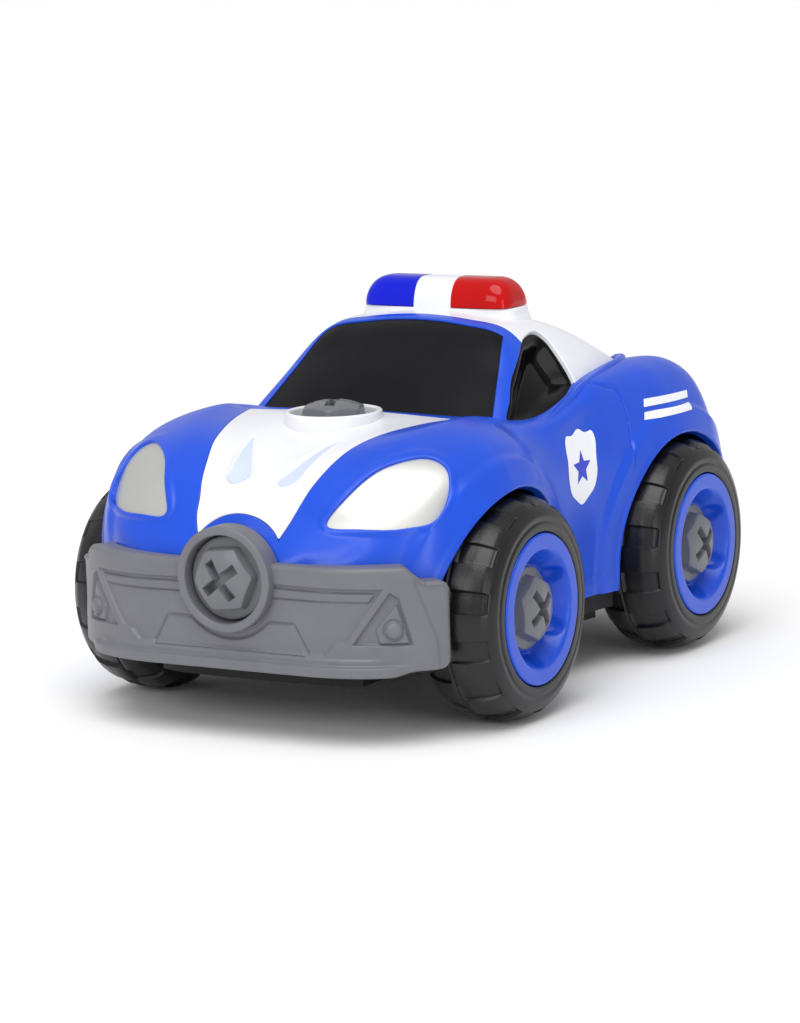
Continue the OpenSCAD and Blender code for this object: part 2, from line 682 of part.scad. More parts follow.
// Line or panel cut into the bumper's face: a flat outline pushed back from the front.
module face_cut(depth) {
    difference() {
        translate([F(30), 0, 0])
            rotate([90, 0, 90])
                linear_extrude(nose_reach) children();
        translate([0, 0, bumper_z0 - 9])
            linear_extrude(tyre_d)
                corner_plan(bumper_cx, bumper_cy, bumper_r - depth, 1);
    }
}
fog_y = bumper_cy + 21.5;
fog_turn = asin((fog_y - bumper_cy) / bumper_r);
fog_lens_h = 1.2;
fog_lens_r = 2.6;
module front_bumper() {
    ring_front_x = face_x + 2.5;
    color(grey)
        union() {
            difference() {
                union() {
                    bumper_wrap(bumper_r, bumper_z0, bumper_z1);
                    bumper_wrap(bumper_r + chin_reach, bumper_z0 - 1, bumper_z0 - 1 + chin_h);
                    translate([nose_x + gap, 0, ring_z])
                        along_x() cylinder(h = ring_front_x - nose_x - gap, d = ring_d);
                }
                rotate([90, 0, 0])
                    linear_extrude(2 * body_w, center = true)
                        polygon([[bumper_end_x - 1, bumper_z1 - wing_drop], [face_x - 11, bumper_z1 - wing_drop],
                                 [face_x - 9, bumper_z1 + 1], [bumper_end_x - 1, bumper_z1 + 1]]);
                translate([ring_floor_x, 0, ring_z])
                    along_x() cylinder(h = nose_reach, d = flange_d + 2 * flange_room);
                translate([F(20), 0, ring_z]) along_x() cylinder(h = nose_reach, r = bore_r);
                face_cut(relief)
                    for (s = [-1, 1])
                        scale([s, 1]) {
                            polygon([[15.5, bumper_z1 - 5], [fog_y - 2, bumper_z1 - 5],
                                     [fog_y - 1, bumper_z1 - 6.2], [15.8, bumper_z1 - 6.2]]);
                            polygon([[16, bumper_z1 - 8], [fog_y - 4, bumper_z1 - 8],
                                     [fog_y - 5, bumper_z1 - 9], [16, bumper_z1 - 9]]);
                            polygon([[fog_y + 4, bumper_z0 + 8], [fog_y - 9.5, bumper_z0 + 8],
                                     [fog_y - 0.5, bumper_z1 - 6.6], [fog_y + 1.5, bumper_z1 - 8]]);
                        }
                face_cut(relief)
                    difference() {
                        polygon([[-25, bumper_z0 + 4.5], [-20.5, bumper_z0 + 12.6],
                                 [20.5, bumper_z0 + 12.6], [25, bumper_z0 + 4.5]]);
                        polygon([[-24, bumper_z0 + 4.4], [-19.9, bumper_z0 + 11.8],
                                 [19.9, bumper_z0 + 11.8], [24, bumper_z0 + 4.4]]);
                    }
            }
            for (s = [-1, 1])
                translate([bumper_cx, s * bumper_cy, bumper_z0 + 12])
                    rotate([0, 0, s * fog_turn])
                        translate([bumper_r - relief - fog_lens_h, 0, 0])
                            along_x() cylinder(h = relief + fog_lens_h, r = fog_lens_r);
        }
}
rear_bumper_end_x = R(-tail_reach) + 8;
module rear_bumper() {
    color(grey)
        translate([0, 0, bumper_z0 + 2])
            linear_extrude(bumper_rise + bumper_drop - 10)
                intersection() {
                    difference() {
                        corner_plan(tail_cx, tail_cy, tail_cx - R(-tail_reach), -1);
                        corner_plan(tail_cx, tail_cy, tail_r + gap, -1);
                    }
                    translate([R(-tail_reach) - 1, -body_w])
                        square([rear_bumper_end_x - R(-tail_reach) + 1, 2 * body_w]);
                }
}

// Bolt with its seat at z = 0: flange and hexagon above, shank below.
module bolt() {
    color(grey)
        difference() {
            union() {
                translate([0, 0, -shank_l]) cylinder(h = shank_l + flange_t, d = shank_d);
                cylinder(h = flange_t, d = flange_d);
                intersection() {
                    cylinder(h = head_h, d = hex_d, $fn = 6);
                    cylinder(h = head_h, d1 = hex_d + 4, d2 = hex_d - 1.6);
                }
            }
            for (a = [0, 90])
                rotate([0, 0, a])
                    translate([-slot_l / 2, -slot_w / 2, head_h - slot_depth])
                        cube([slot_l, slot_w, slot_depth + 1]);
        }
}
module bumper_bolt() { translate([bumper_seat_x, 0, ring_z]) along_x() rotate([0, 0, 36]) bolt(); }
module hood_bolt() { translate([hood_bolt_x, 0, hood_seat_z]) rotate([0, 0, 20]) bolt(); }
module wheel_place(x, side) { translate([x, 0, axle_z]) mirror([0, side < 0 ? 1 : 0, 0]) children(); }
module wheel_bolt(x, side) {
    wheel_place(x, side)
        translate([0, wheel_seat_y, 0])
            along_y() rotate([0, 0, 35]) bolt();
}
module bolt_front_left() { wheel_bolt(front_axle_x, 1); }
module bolt_front_right() { wheel_bolt(front_axle_x, -1); }
module bolt_rear_left() { wheel_bolt(rear_axle_x, 1); }
module bolt_rear_right() { wheel_bolt(rear_axle_x, -1); }

// White bonnet panel with a collar for its bolt and two scoops.
module scoop() {
    translate([0, 0, H(0)])
        hull() {
            translate([F(12), 15]) cylinder(h = wing_rise + 9, r = 0.8, $fn = 24);
            translate([F(32.5), 8.5]) cylinder(h = wing_rise + 9, r = 4.4, $fn = 24);
        }
}
module hood_panel() {
    color(white)
        difference() {
            union() {
                moulded()
                    difference() {
                        intersection() {
                            hood_zone();
                            difference() {
                                hood_solid(0);
                                hood_solid(hood_t);
                            }
                        }
                        both_sides()
                            difference() {
                                scoop();
                                hood_solid(scoop_depth);
                            }
                        translate([hood_bolt_x, 0, 0]) cylinder(h = roof_z, d = flange_d + 2 * flange_room);
                    }
                translate([hood_bolt_x, 0, collar_floor_z - hood_t])
                    cylinder(h = collar_z - collar_floor_z + hood_t, d = collar_d);
            }
            translate([hood_bolt_x, 0, collar_floor_z]) cylinder(h = wing_rise, d = flange_d + 2 * flange_room);
            translate([hood_bolt_x, 0, 0]) cylinder(h = roof_z, r = bore_r);
        }
}

// Tyre profile, radius against distance from the inner side.
seat_r = rim_d / 2 - 2;
lip_t = 2.2;
module tyre() {
    r = tyre_d / 2;
    color(black)
        translate([0, wheel_inner_y, 0])
            along_y()
                difference() {
                    rotate_extrude($fn = 96)
                        polygon([
                            [seat_r, 1], [r - 6, 0], [r - 2.8, 1.6], [r - 0.8, 4.5], [r, 8.5],
                            [r, 0.56 * tyre_w], [r - 0.6, 0.72 * tyre_w], [r - 1.8, tyre_w - 3.7],
                            [r - 3.8, tyre_w - 1.4], [r - 7, tyre_w - 0.2], [rim_d / 2 + 0.2, tyre_w - 0.2],
                            [rim_d / 2 + 0.2, tyre_w - lip_t - 0.2], [seat_r, tyre_w - lip_t - 0.2]]);
                    for (i = [0 : tread_count - 1]) {
                        rotate([0, 0, 360 * i / tread_count])
                            translate([r - tread_depth, -0.8, 0.44 * tyre_w]) cube([9, 1.6, tyre_w]);
                        rotate([0, 0, 360 * (i + 0.5) / tread_count])
                            translate([r - tread_depth, -0.8, -1]) cube([9, 1.6, 0.44 * tyre_w + 1]);
                    }
                }
}
module rim() {
    hub_top = wheel_seat_y - seat_gap - wheel_inner_y;
    hub_low = hub_inner_y - wheel_inner_y;
    lip_r = rim_d / 2 - rim_lip;
    dish_r = flange_d / 2 + flange_room;
    color(blue)
        translate([0, wheel_inner_y, 0])
            along_y()
                difference() {
                    rotate_extrude($fn = 96)
                        polygon([
                            [bore_r, hub_low], [socket_d / 2 + 1, hub_low], [socket_d / 2 + 1, hub_top - 4],
                            [seat_r - 2, hub_top - 2.4], [seat_r - 2, 2], [seat_r - 0.1, 2], [seat_r - 0.1, tyre_w - lip_t],
                            [rim_d / 2, tyre_w - lip_t], [rim_d / 2, tyre_w - 0.5], [rim_d / 2 - 0.5, tyre_w],
                            [lip_r, tyre_w], [dish_r + 1, hub_top + 0.8], [dish_r, hub_top], [bore_r, hub_top]]);
                    for (i = [0 : pocket_count - 1])
                        rotate([0, 0, 360 * i / pocket_count])
                            translate([dish_r + 1.2, 0, hub_top + 0.6])
                                cylinder(h = tyre_w, r = 2.6);
                }
}
module tyre_front_left() { wheel_place(front_axle_x, 1) tyre(); }
module tyre_front_right() { wheel_place(front_axle_x, -1) tyre(); }
module tyre_rear_left() { wheel_place(rear_axle_x, 1) tyre(); }
module tyre_rear_right() { wheel_place(rear_axle_x, -1) tyre(); }
module rim_front_left() { wheel_place(front_axle_x, 1) rim(); }
module rim_front_right() { wheel_place(front_axle_x, -1) rim(); }
module rim_rear_left() { wheel_place(rear_axle_x, 1) rim(); }
module rim_rear_right() { wheel_place(rear_axle_x, -1) rim(); }

// Black floor pan with the sockets for all six bolts.
module chassis_plan(grow = 0) {
    narrow = well_y - wall - gap + grow;
    intersection() {
        union() {
            translate([T(wall), -narrow]) square([N(wall) - T(wall), 2 * narrow]);
            translate([rear_axle_x + arch_r + 1, -half_w]) square([wheelbase - 2 * arch_r - 2, body_w]);
        }
        union() {
            corner_plan(nose_cx, nose_cy, nose_r - wall - 1 + grow, 1);
            corner_plan(tail_cx, tail_cy, tail_r - wall - 1 + grow, -1);
            polygon([for (s = [-1, 1]) for (i = [0 : 12])
                let (x = tail_cx + (nose_cx - tail_cx) * (s < 0 ? i : 12 - i) / 12)
                [x, s * (plan_y(x) - tuck - 0.5 + grow)]]);
        }
    }
}
socket_y0 = wheel_seat_y - shank_l - 3;
module chassis() {
    color(black)
        difference() {
            union() {
                translate([0, 0, sill_z - 5]) linear_extrude(5) chassis_plan();
                translate([0, 0, belly_z]) linear_extrude(sill_z - 5 - belly_z) chassis_plan(-6);
                both_sides()
                    at_axles() {
                        translate([0, socket_y0 - 2, 0])
                            along_y() cylinder(h = socket_end_y - socket_y0 + 2, d = socket_d);
                        translate([-socket_d / 2, socket_y0 - 2, sill_z - axle_z - 1])
                            cube([socket_d, well_y - wall - gap - socket_y0 + 2, axle_z - sill_z + 1]);
                    }
                translate([bumper_seat_x - shank_l - 4, 0, ring_z])
                    along_x() cylinder(h = shank_l - 1, d = socket_d);
                translate([bumper_seat_x - shank_l - 4, -4, sill_z - 1]) cube([shank_l - 5, 8, ring_z - sill_z]);
                translate([hood_bolt_x, 0, sill_z - 1]) cylinder(h = wing_z - 8 - sill_z + 1, d = socket_d);
            }
            both_sides()
                at_axles()
                    translate([0, socket_y0, 0]) along_y() cylinder(h = half_w, r = bore_r);
            translate([bumper_seat_x - shank_l - 2, 0, ring_z]) along_x() cylinder(h = nose_reach, r = bore_r);
            translate([hood_bolt_x, 0, hood_seat_z - shank_l - 2]) cylinder(h = wing_rise, r = bore_r);
            for (x = post_x, s = [-1, 1])
                translate([x, s * post_y, 0]) {
                    cylinder(h = tyre_d, d = screw_d + 0.2);
                    cylinder(h = sill_z - 3, d = 2 * screw_d + 0.6);
                }
        }
}
module chassis_screws() {
    color("silver")
        for (x = post_x, s = [-1, 1])
            translate([x, s * post_y, sill_z - 3]) {
                cylinder(h = 12, d = screw_d - 0.6);
                translate([0, 0, -1.8])
                    difference() {
                        cylinder(h = 1.8, d = 2 * screw_d);
                        translate([-2, -0.4, -0.1]) cube([4, 0.8, 0.9]);
                        translate([-0.4, -2, -0.1]) cube([0.8, 4, 0.9]);
                    }
            }
}

chassis();
chassis_screws();
body_shell();
cabin_insert();
windscreen();
roof_panel();
lightbar_base();
lens_red();
lens_blue();
headlamp_left();
headlamp_right();
tail_lamp_left();
tail_lamp_right();
rear_bumper();
front_bumper();
bumper_bolt();
hood_panel();
hood_bolt();
tyre_front_left();
tyre_front_right();
tyre_rear_left();
tyre_rear_right();
rim_front_left();
rim_front_right();
rim_rear_left();
rim_rear_right();
bolt_front_left();
bolt_front_right();
bolt_rear_left();
bolt_rear_right();
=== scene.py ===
import math
import bmesh
import bpy
import numpy as np
from mathutils import Matrix


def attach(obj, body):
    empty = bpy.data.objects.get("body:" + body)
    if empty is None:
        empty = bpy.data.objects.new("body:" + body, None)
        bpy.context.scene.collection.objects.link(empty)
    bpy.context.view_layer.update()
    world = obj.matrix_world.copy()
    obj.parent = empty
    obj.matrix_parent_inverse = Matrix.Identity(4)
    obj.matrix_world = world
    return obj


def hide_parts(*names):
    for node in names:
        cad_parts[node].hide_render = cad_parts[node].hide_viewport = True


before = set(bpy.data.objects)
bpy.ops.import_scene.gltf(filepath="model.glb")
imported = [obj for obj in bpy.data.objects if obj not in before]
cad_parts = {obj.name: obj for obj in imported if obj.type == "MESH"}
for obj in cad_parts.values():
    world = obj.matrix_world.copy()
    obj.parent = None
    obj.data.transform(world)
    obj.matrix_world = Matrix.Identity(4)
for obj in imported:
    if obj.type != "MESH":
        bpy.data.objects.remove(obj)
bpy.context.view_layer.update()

# Sizes are in millimetres in the frame of the part: x forwards, y to the car's left, z up from the ground.
MM = 0.001
# Front axle, rear axle and their height
FRONT_X, REAR_X, AXLE = 48.5, -60.5, 33.0
# Half the width, and the heights of the wings, the roof and the body's lower edge
HALF, WING, ROOF, SILL = 66.0, 85.0, 109.0, 24.0
# Ends of the body, each with the radius and the centre of its corners in plan
NOSE, NOSE_R, NOSE_CX, NOSE_CY = 97.85, 48.05, 51.0, 17.95
TAIL, TAIL_R, TAIL_CX, TAIL_CY = -103.55, 25.0, -79.35, 40.5
# Front bumper: the middle of its ring, the bonnet's cut-out round it, and the lower and upper edges
RING_Z, RING_CUT, BUMPER_LOW, BUMPER_TOP = 47.0, 17.3, 22.0, 52.0
# Radius of the wheel arches, and the inner and outer sides of the wheels
ARCH, WHEEL_IN, WHEEL_Y = 34.8, 47.0, 72
# Bonnet: its rear edge, its width there and at the nose, and the place and seat of its bolt
HOOD_REAR, HOOD_W, HOOD_FRONT = 28.5, 74.0, 29.0
HOOD_BOLT_X, HOOD_SEAT = 41.5, 82.3
SIDES = {"front_left": (FRONT_X, 1), "front_right": (FRONT_X, -1),
         "rear_left": (REAR_X, 1), "rear_right": (REAR_X, -1)}


# Places ahead of an axle or the tail or behind the nose, and heights over the axles
def front(d):
    return FRONT_X + d


def rear(d):
    return REAR_X + d


def over(h):
    return AXLE + h


def nose(d):
    return NOSE - d


def tail(d):
    return TAIL + d


def placed(rows, *bases):
    """Rows of distances from places, one place for each column."""
    return np.array(rows, float) + bases


def guide(rows, x):
    """Smooth row at each x of a guide, a list of rows [x, ...] in rising x."""
    t = np.array(rows, float)
    x = np.atleast_1d(np.asarray(x, float))
    n = len(t)
    i = np.clip(np.searchsorted(t[:, 0], x, side="right") - 1, 0, n - 2)
    a, b = np.maximum(np.arange(n) - 1, 0), np.minimum(np.arange(n) + 1, n - 1)
    slope = (t[b] - t[a]) / (t[b, 0] - t[a, 0])[:, None]
    h = (t[i + 1, 0] - t[i, 0])[:, None]
    u = (x - t[i, 0])[:, None] / h
    return ((1 + 2 * u) * (1 - u) ** 2 * t[i] + u * (1 - u) ** 2 * h * slope[i]
            + u * u * (3 - 2 * u) * t[i + 1] - u * u * (1 - u) * h * slope[i + 1])


def catmull(p0, p1, p2, p3, u):
    """Point between p1 and p2 on a smooth curve through four points."""
    return p1 + 0.5 * u * (p2 - p0 + u * (2 * p0 - 5 * p1 + 4 * p2 - p3 + u * (3 * (p1 - p2) + p3 - p0)))


def sections(p, steps, first=0, last=None):
    """Half sections from control points p[row, point, yz]; returns [row, column, yz]."""
    n = p.shape[1]
    last = n - 1 if last is None else last
    before = p[:, 1:2] * np.array([-1.0, 1.0])
    after = 2 * p[:, n - 1:n] - p[:, n - 2:n - 1]
    q = np.concatenate([before, p, after], 1)
    out = []
    for k in range(first, last):
        for s in range(steps):
            out.append(catmull(q[:, k], q[:, k + 1], q[:, k + 2], q[:, k + 3], s / steps))
    out.append(p[:, last])
    return np.stack(out, 1)


def closed_curve(points, steps=10):
    p = np.array(points, float)
    q = [p[-1], *p, *p[:2]]
    return np.array([catmull(*q[k:k + 4], s / steps) for k in range(len(p)) for s in range(steps)])


def open_curve(points, steps=6):
    p = np.array(points, float)
    q = [p[0], *p, p[-1]]
    out = [catmull(*q[k:k + 4], s / steps) for k in range(len(p) - 1) for s in range(steps)]
    return np.array([*out, p[-1]])


def smooth(a, b, x):
    """0 up to a and 1 from b on, with a soft rise between."""
    t = np.clip((x - a) / (b - a), 0, 1)
    return t * t * (3 - 2 * t)


def fade(a, b, x):
    return 1 - smooth(a, b, x)


def groove(d, width):
    """Soft groove of depth 1 where the distance d is zero."""
    return np.exp(-(d / width) ** 2)


def to_line(q, line, closed=False):
    """Distance from each point to a line of straight stretches."""
    a = np.asarray(line, float)
    b = np.roll(a, -1, 0) if closed else a[1:]
    a = a if closed else a[:-1]
    best = np.full(len(q), 1e9)
    for p0, p1 in zip(a, b):
        d = p1 - p0
        t = np.clip(((q - p0) @ d) / max(d @ d, 1e-12), 0, 1)
        best = np.minimum(best, np.linalg.norm(q - p0 - t[:, None] * d, axis=1))
    return best


def to_outline(q, poly):
    """Signed distance to a closed outline, negative inside."""
    poly = np.asarray(poly, float)
    inside = np.zeros(len(q), bool)
    for p0, p1 in zip(poly, np.roll(poly, -1, 0)):
        cross = (p0[1] > q[:, 1]) != (p1[1] > q[:, 1])
        with np.errstate(divide="ignore", invalid="ignore"):
            at = (p1[0] - p0[0]) * (q[:, 1] - p0[1]) / (p1[1] - p0[1]) + p0[0]
        inside ^= cross & (q[:, 0] < at)
    d = to_line(q, poly, True)
    return np.where(inside, -d, d)


# The body's guides: each row is a place along the car and the sizes that the body has there.
# Half width in plan between the rounded ends
flank = placed([
    [TAIL_CX, -0.5], [rear(0), 0], [rear(14.5), -2], [rear(34.5), -6.5], [rear(46), -9], [front(-46), -9],
    [front(-34.5), -7.5], [front(-14.5), -1.5], [NOSE_CX, 0]], 0, HALF)


def plan_y(x):
    y = guide(flank, np.clip(x, TAIL_CX, NOSE_CX))[:, 1]
    y = np.where(x > NOSE_CX, NOSE_CY + np.sqrt(np.maximum(NOSE_R ** 2 - (x - NOSE_CX) ** 2, 0)), y)
    return np.where(x < TAIL_CX, TAIL_CY + np.sqrt(np.maximum(TAIL_R ** 2 - (TAIL_CX - x) ** 2, 0)), y)


# Height along the middle
middle = placed([
    [TAIL, -24], [tail(3), -13], [tail(13), -3], [tail(28), 1], [rear(0), 1.5], [front(-50), -2],
    [front(-34.5), -3], [front(-20), -0.5], [front(0), -2.2], [front(16), -5.5], [front(30), -10.8],
    [nose(8.4), -16.8], [nose(4.4), -19.5], [nose(1.9), -23], [NOSE, -28]], 0, WING)
# Edge of the bonnet: half width and height
hood_edge = placed([
    [HOOD_REAR, HOOD_W / 2, -1.7], [front(-12), HOOD_W / 2 - 3.5, -1], [front(2), HOOD_W / 2 - 7.8, -1.3],
    [front(13), HOOD_W / 2 - 11.2, -2.4], [front(23), HOOD_FRONT / 2 + 8.5, -4.8],
    [front(30), HOOD_FRONT / 2 + 6.2, -8.4], [nose(12.4), HOOD_FRONT / 2 + 4, -13.5],
    [nose(8.4), HOOD_FRONT / 2 + 2.4, -18], [nose(4.4), HOOD_FRONT / 2 + 1.1, -22.5],
    [NOSE, HOOD_FRONT / 2 - 2, -29]], 0, 0, WING)
# Crest of the wings, as half width and height, and shoulder, as distance in from the side and height
wings = placed([
    [TAIL, -34, -25, 6, -32], [tail(4.5), -24, -15, 5, -25], [tail(12.5), -17.5, -3.5, 5, -13.5],
    [tail(24.5), -16, 3, 5, -7], [rear(0), -16.5, 5, 6, -4.4], [rear(14.5), -16.5, 4.6, 6, -4],
    [rear(34.5), -16, 2.5, 4, -6], [rear(44.5), -16, -1, 3, -9], [front(-46.5), -16.5, -4.7, 3, -12],
    [front(-34.5), -19, -4.2, 4.2, -12], [front(-24.5), -21, -2, 5, -12],
    [front(-14.5), -21.5, 0, 5.5, -9.5], [front(0), -22.5, 0, 6, -8.5],
    [front(15.5), -26.5, -2.5, 6.7, -11], [front(25.5), -30, -6.2, 7, -14.5],
    [nose(13.9), -34, -13, 6.9, -20], [nose(8.4), -37, -18.7, 6.6, -24], [nose(5.4), -40, -23, 6, -27.5],
    [NOSE, -46, -30, 4, -33]], 0, HALF, WING, 0, WING)
# Height of the widest line
waist = placed([
    [TAIL, 11], [tail(12.5), 19], [rear(0), 24], [rear(34.5), 25], [front(-46.5), 21], [front(-24.5), 20],
    [front(0), 22], [front(25.5), 19.5], [nose(5.4), 16], [NOSE, 14]], 0, AXLE)
# The bonnet's edge fades into the middle line behind it, and the sill is tucked in.
HOOD_FADE, EDGE_IN, MID_SHARE, SILL_TUCK = 16, 1.6, 0.62, 1.5


def body_points(x):
    """Control points of the half section at each x, from the middle over the crest to the sill."""
    e = guide(hood_edge, np.maximum(x, HOOD_REAR))
    crest_y, crest_z, shoulder_in, shoulder_z = guide(wings, x)[:, 1:].T
    w, m, b = plan_y(x), guide(middle, x)[:, 1], guide(waist, x)[:, 1]
    k = smooth(HOOD_REAR - HOOD_FADE, HOOD_REAR, x)
    ey = (1 - k) * MID_SHARE * crest_y + k * (e[:, 1] - EDGE_IN)
    ez = (1 - k) * (m + crest_z - 1) / 2 + k * e[:, 2]
    zero, sill = np.zeros_like(x), np.full_like(x, SILL)
    pts = [(zero, m), (ey, ez), (crest_y, crest_z), (w - shoulder_in, shoulder_z), (w, b),
           (w - SILL_TUCK, sill)]
    return np.stack([np.stack(p, -1) for p in pts], 1)


# The cabin's guides: height along the middle, then the roof's edge and the foot as half width and height
CAB_TAIL, CAB_NOSE = rear(-14), front(-20)
cab_middle = placed([
    [CAB_TAIL, WING + 1 - ROOF], [rear(-2), -15], [rear(15), -5.8], [rear(30), -1], [front(-66), 0],
    [front(-58), -0.7], [front(-52), -3], [front(-45), -8], [front(-35), -15.7], [front(-25), -24.5],
    [CAB_NOSE, -29]], 0, ROOF)
cab_edge = placed([
    [CAB_TAIL, 38, WING - 1 - ROOF], [rear(-2), 37, -18], [rear(15), 33, -9], [rear(30), 30.5, -4.8],
    [front(-56.4), 30.9, -5.4], [front(-43.5), 35.3, -16], [front(-30.5), 39.6, -27.3],
    [CAB_NOSE, 42, -36]], 0, 0, ROOF)
cab_base = placed([
    [CAB_TAIL, -22, -8], [rear(0), -19, -5], [rear(34.5), -17, -2], [front(-46.5), -17, -7],
    [CAB_NOSE, -20, -12]], 0, HALF, WING)


def cab_points(x):
    """Control points of the cabin's half section at each x, from the middle to its foot."""
    m, e, b = guide(cab_middle, x)[:, 1], guide(cab_edge, x), guide(cab_base, x)
    pts = [(0 * x, m), (0.55 * e[:, 1], 0.72 * m + 0.28 * e[:, 2]), (e[:, 1], e[:, 2]),
           ((e[:, 1] + b[:, 1]) / 2 + 1, (e[:, 2] + b[:, 2]) / 2 + 1), (b[:, 1], b[:, 2])]
    return np.stack([np.stack(p, -1) for p in pts], 1)


# Sheets are arrays of points, normals and triangles.
BISECTIONS, ON_EDGE, TINY = 14, 0.02, 1e-9


def unit(a):
    """Vectors of length 1 along the last axis."""
    return a / np.maximum(np.linalg.norm(a, axis=-1, keepdims=True), TINY)


def grid_normals(p):
    return unit(np.cross(np.gradient(p, axis=0), np.gradient(p, axis=1)))


def grid_quads(rows, columns, around=False):
    """Quads of a grid of points, also from its last row to the first where it goes around."""
    i = np.arange(rows * columns).reshape(rows, columns)
    a, b = (i, np.roll(i, -1, 0)) if around else (i[:-1], i[1:])
    return np.stack([a[:, :-1], b[:, :-1], b[:, 1:], a[:, 1:]], -1).reshape(-1, 4)


def halved(quads):
    return np.concatenate([quads[:, [0, 1, 2]], quads[:, [0, 2, 3]]])


def half_grid(x, yz):
    return np.concatenate([np.repeat(x[:, None, None], yz.shape[1], 1), yz], 2)


def full_grid(x, yz):
    """Grid from the right sill over the top to the left sill."""
    half = half_grid(x, yz)
    other = half[:, :0:-1] * np.array([1, -1, 1])
    return np.concatenate([other, half], 1)


def as_sheet(p, n):
    return p.reshape(-1, 3), n.reshape(-1, 3), halved(grid_quads(*p.shape[:2]))


def sheet(p, shift=0.0, relief=None):
    """Triangles of a grid of points, pushed out along its normals by relief and by shift."""
    n = grid_normals(p)
    if relief is not None:
        p = p + relief[..., None] * n
        n = grid_normals(p)
    return as_sheet(p + shift * n, n)


def compact(v, n, t):
    """Sheet without the points that no triangle uses."""
    used = np.unique(t)
    back = np.full(len(v), -1)
    back[used] = np.arange(len(used))
    return v[used], n[used], back[t]


def clip(s, field):
    """Keeps the part of a sheet where field(points) is positive."""
    v, n, t = s
    f = field(v)
    f = np.where(np.abs(f) < 1e-4, 1e-4, f)
    pos = f[t] > 0
    count = pos.sum(1)
    keep = [t[count == 3]]
    seen = {}

    def cut(a, b):
        key = (a, b) if f[a] > 0 else (b, a)
        return seen.setdefault(key, len(v) + len(seen))

    made = []
    for tri in t[(count == 1) | (count == 2)].tolist():
        sign = [f[i] > 0 for i in tri]
        odd = sign.index(True) if sum(sign) == 1 else sign.index(False)
        a, b, c = tri[odd], tri[(odd + 1) % 3], tri[(odd + 2) % 3]
        if sign[odd]:
            made.append([a, cut(a, b), cut(a, c)])
        else:
            p, q = cut(a, b), cut(a, c)
            made += [[p, b, c], [p, c, q]]
    if made:
        keep.append(np.array(made))
        a, b = np.array(list(seen)).T
        lo, hi = np.zeros(len(a)), np.ones(len(a))
        for _ in range(BISECTIONS):
            k = (lo + hi) / 2
            inside = field(v[a] + k[:, None] * (v[b] - v[a])) > 0
            lo, hi = np.where(inside, k, lo), np.where(inside, hi, k)
        k = lo[:, None]
        m = unit(n[a] + k * (n[b] - n[a]))
        v, n = np.vstack([v, v[a] + k * (v[b] - v[a])]), np.vstack([n, m])
    return compact(v, n, np.concatenate(keep))


def slope_of(field, p):
    h = 0.02
    return np.stack([(field(p + h * e) - field(p - h * e)) / (2 * h) for e in np.eye(3)], 1)


def lip(s, field, r, depth, rings=4):
    """Rolls a sheet's cut edge, where field is zero, over a radius and down into the gap."""
    v, n, t = s
    edges = np.concatenate([t[:, [0, 1]], t[:, [1, 2]], t[:, [2, 0]]])
    _, first, times = np.unique(np.sort(edges, 1), axis=0, return_index=True, return_counts=True)
    rim = edges[first[times == 1]]
    on = np.abs(field(v)) < ON_EDGE
    rim = rim[on[rim].all(1)]
    if not len(rim):
        return s
    ids = np.unique(rim)
    p, m = v[ids], n[ids]
    g = slope_of(field, p)
    out = unit(-(g - (g * m).sum(1, keepdims=True) * m))
    place = np.full(len(v), -1)
    place[ids] = np.arange(len(ids))
    vs, ns, ts = [v], [n], [t]
    last = ids[place[rim]]
    base = len(v)
    steps = [(a, 0.0) for a in np.linspace(0, 90, rings + 1)[1:]] + [(90.0, depth)]
    for a, down in steps:
        c, w = math.cos(math.radians(a)), math.sin(math.radians(a))
        vs.append(p + out * r * w - m * (r * (1 - c) + down))
        ns.append(m * c + out * w)
        now = base + place[rim]
        ts.append(np.stack([last[:, 1], last[:, 0], now[:, 0]], 1))
        ts.append(np.stack([last[:, 1], now[:, 0], now[:, 1]], 1))
        last = now
        base += len(ids)
    return np.vstack(vs), np.vstack(ns), np.concatenate(ts)


def cut_out(s, cuts):
    """Cuts a sheet by several fields, then rolls the edge of each over its radius and depth."""
    for field, _, _ in cuts:
        s = clip(s, field)
    for field, r, depth in cuts:
        s = lip(s, field, r, depth)
    return s


def merge(*parts):
    vs, ns, ts, k = [], [], [], 0
    for v, n, t in parts:
        vs.append(v)
        ns.append(n)
        ts.append(t + k)
        k += len(v)
    return np.vstack(vs), np.vstack(ns), np.concatenate(ts)


def mirrored(s):
    """The same sheet on the other side of the car."""
    v, n, t = s
    flip = np.array([1, -1, 1])
    return v * flip, n * flip, t[:, ::-1]


def add_object(name, data):
    ob = bpy.data.objects.new(name, data)
    bpy.context.scene.collection.objects.link(ob)
    return ob


# Pieces: each rides on a body, and may stand for a node of the frame.
def add_piece(name, mesh, material, body, node=None):
    ob = add_object(name, mesh)
    mesh.materials.clear()
    mesh.materials.append(material)
    if node:
        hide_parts(node)
    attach(ob, body)


def shade_smooth(mesh):
    mesh.polygons.foreach_set("use_smooth", np.ones(len(mesh.polygons), bool))


def sheet_piece(name, s, material, body, node=None):
    """Piece from a sheet, shaded by the sheet's own normals."""
    v, n, t = s
    mesh = bpy.data.meshes.new(name)
    mesh.from_pydata((v * MM).tolist(), [], t.tolist())
    shade_smooth(mesh)
    mesh.normals_split_custom_set_from_vertices(n.tolist())
    mesh.update()
    add_piece(name, mesh, material, body, node)


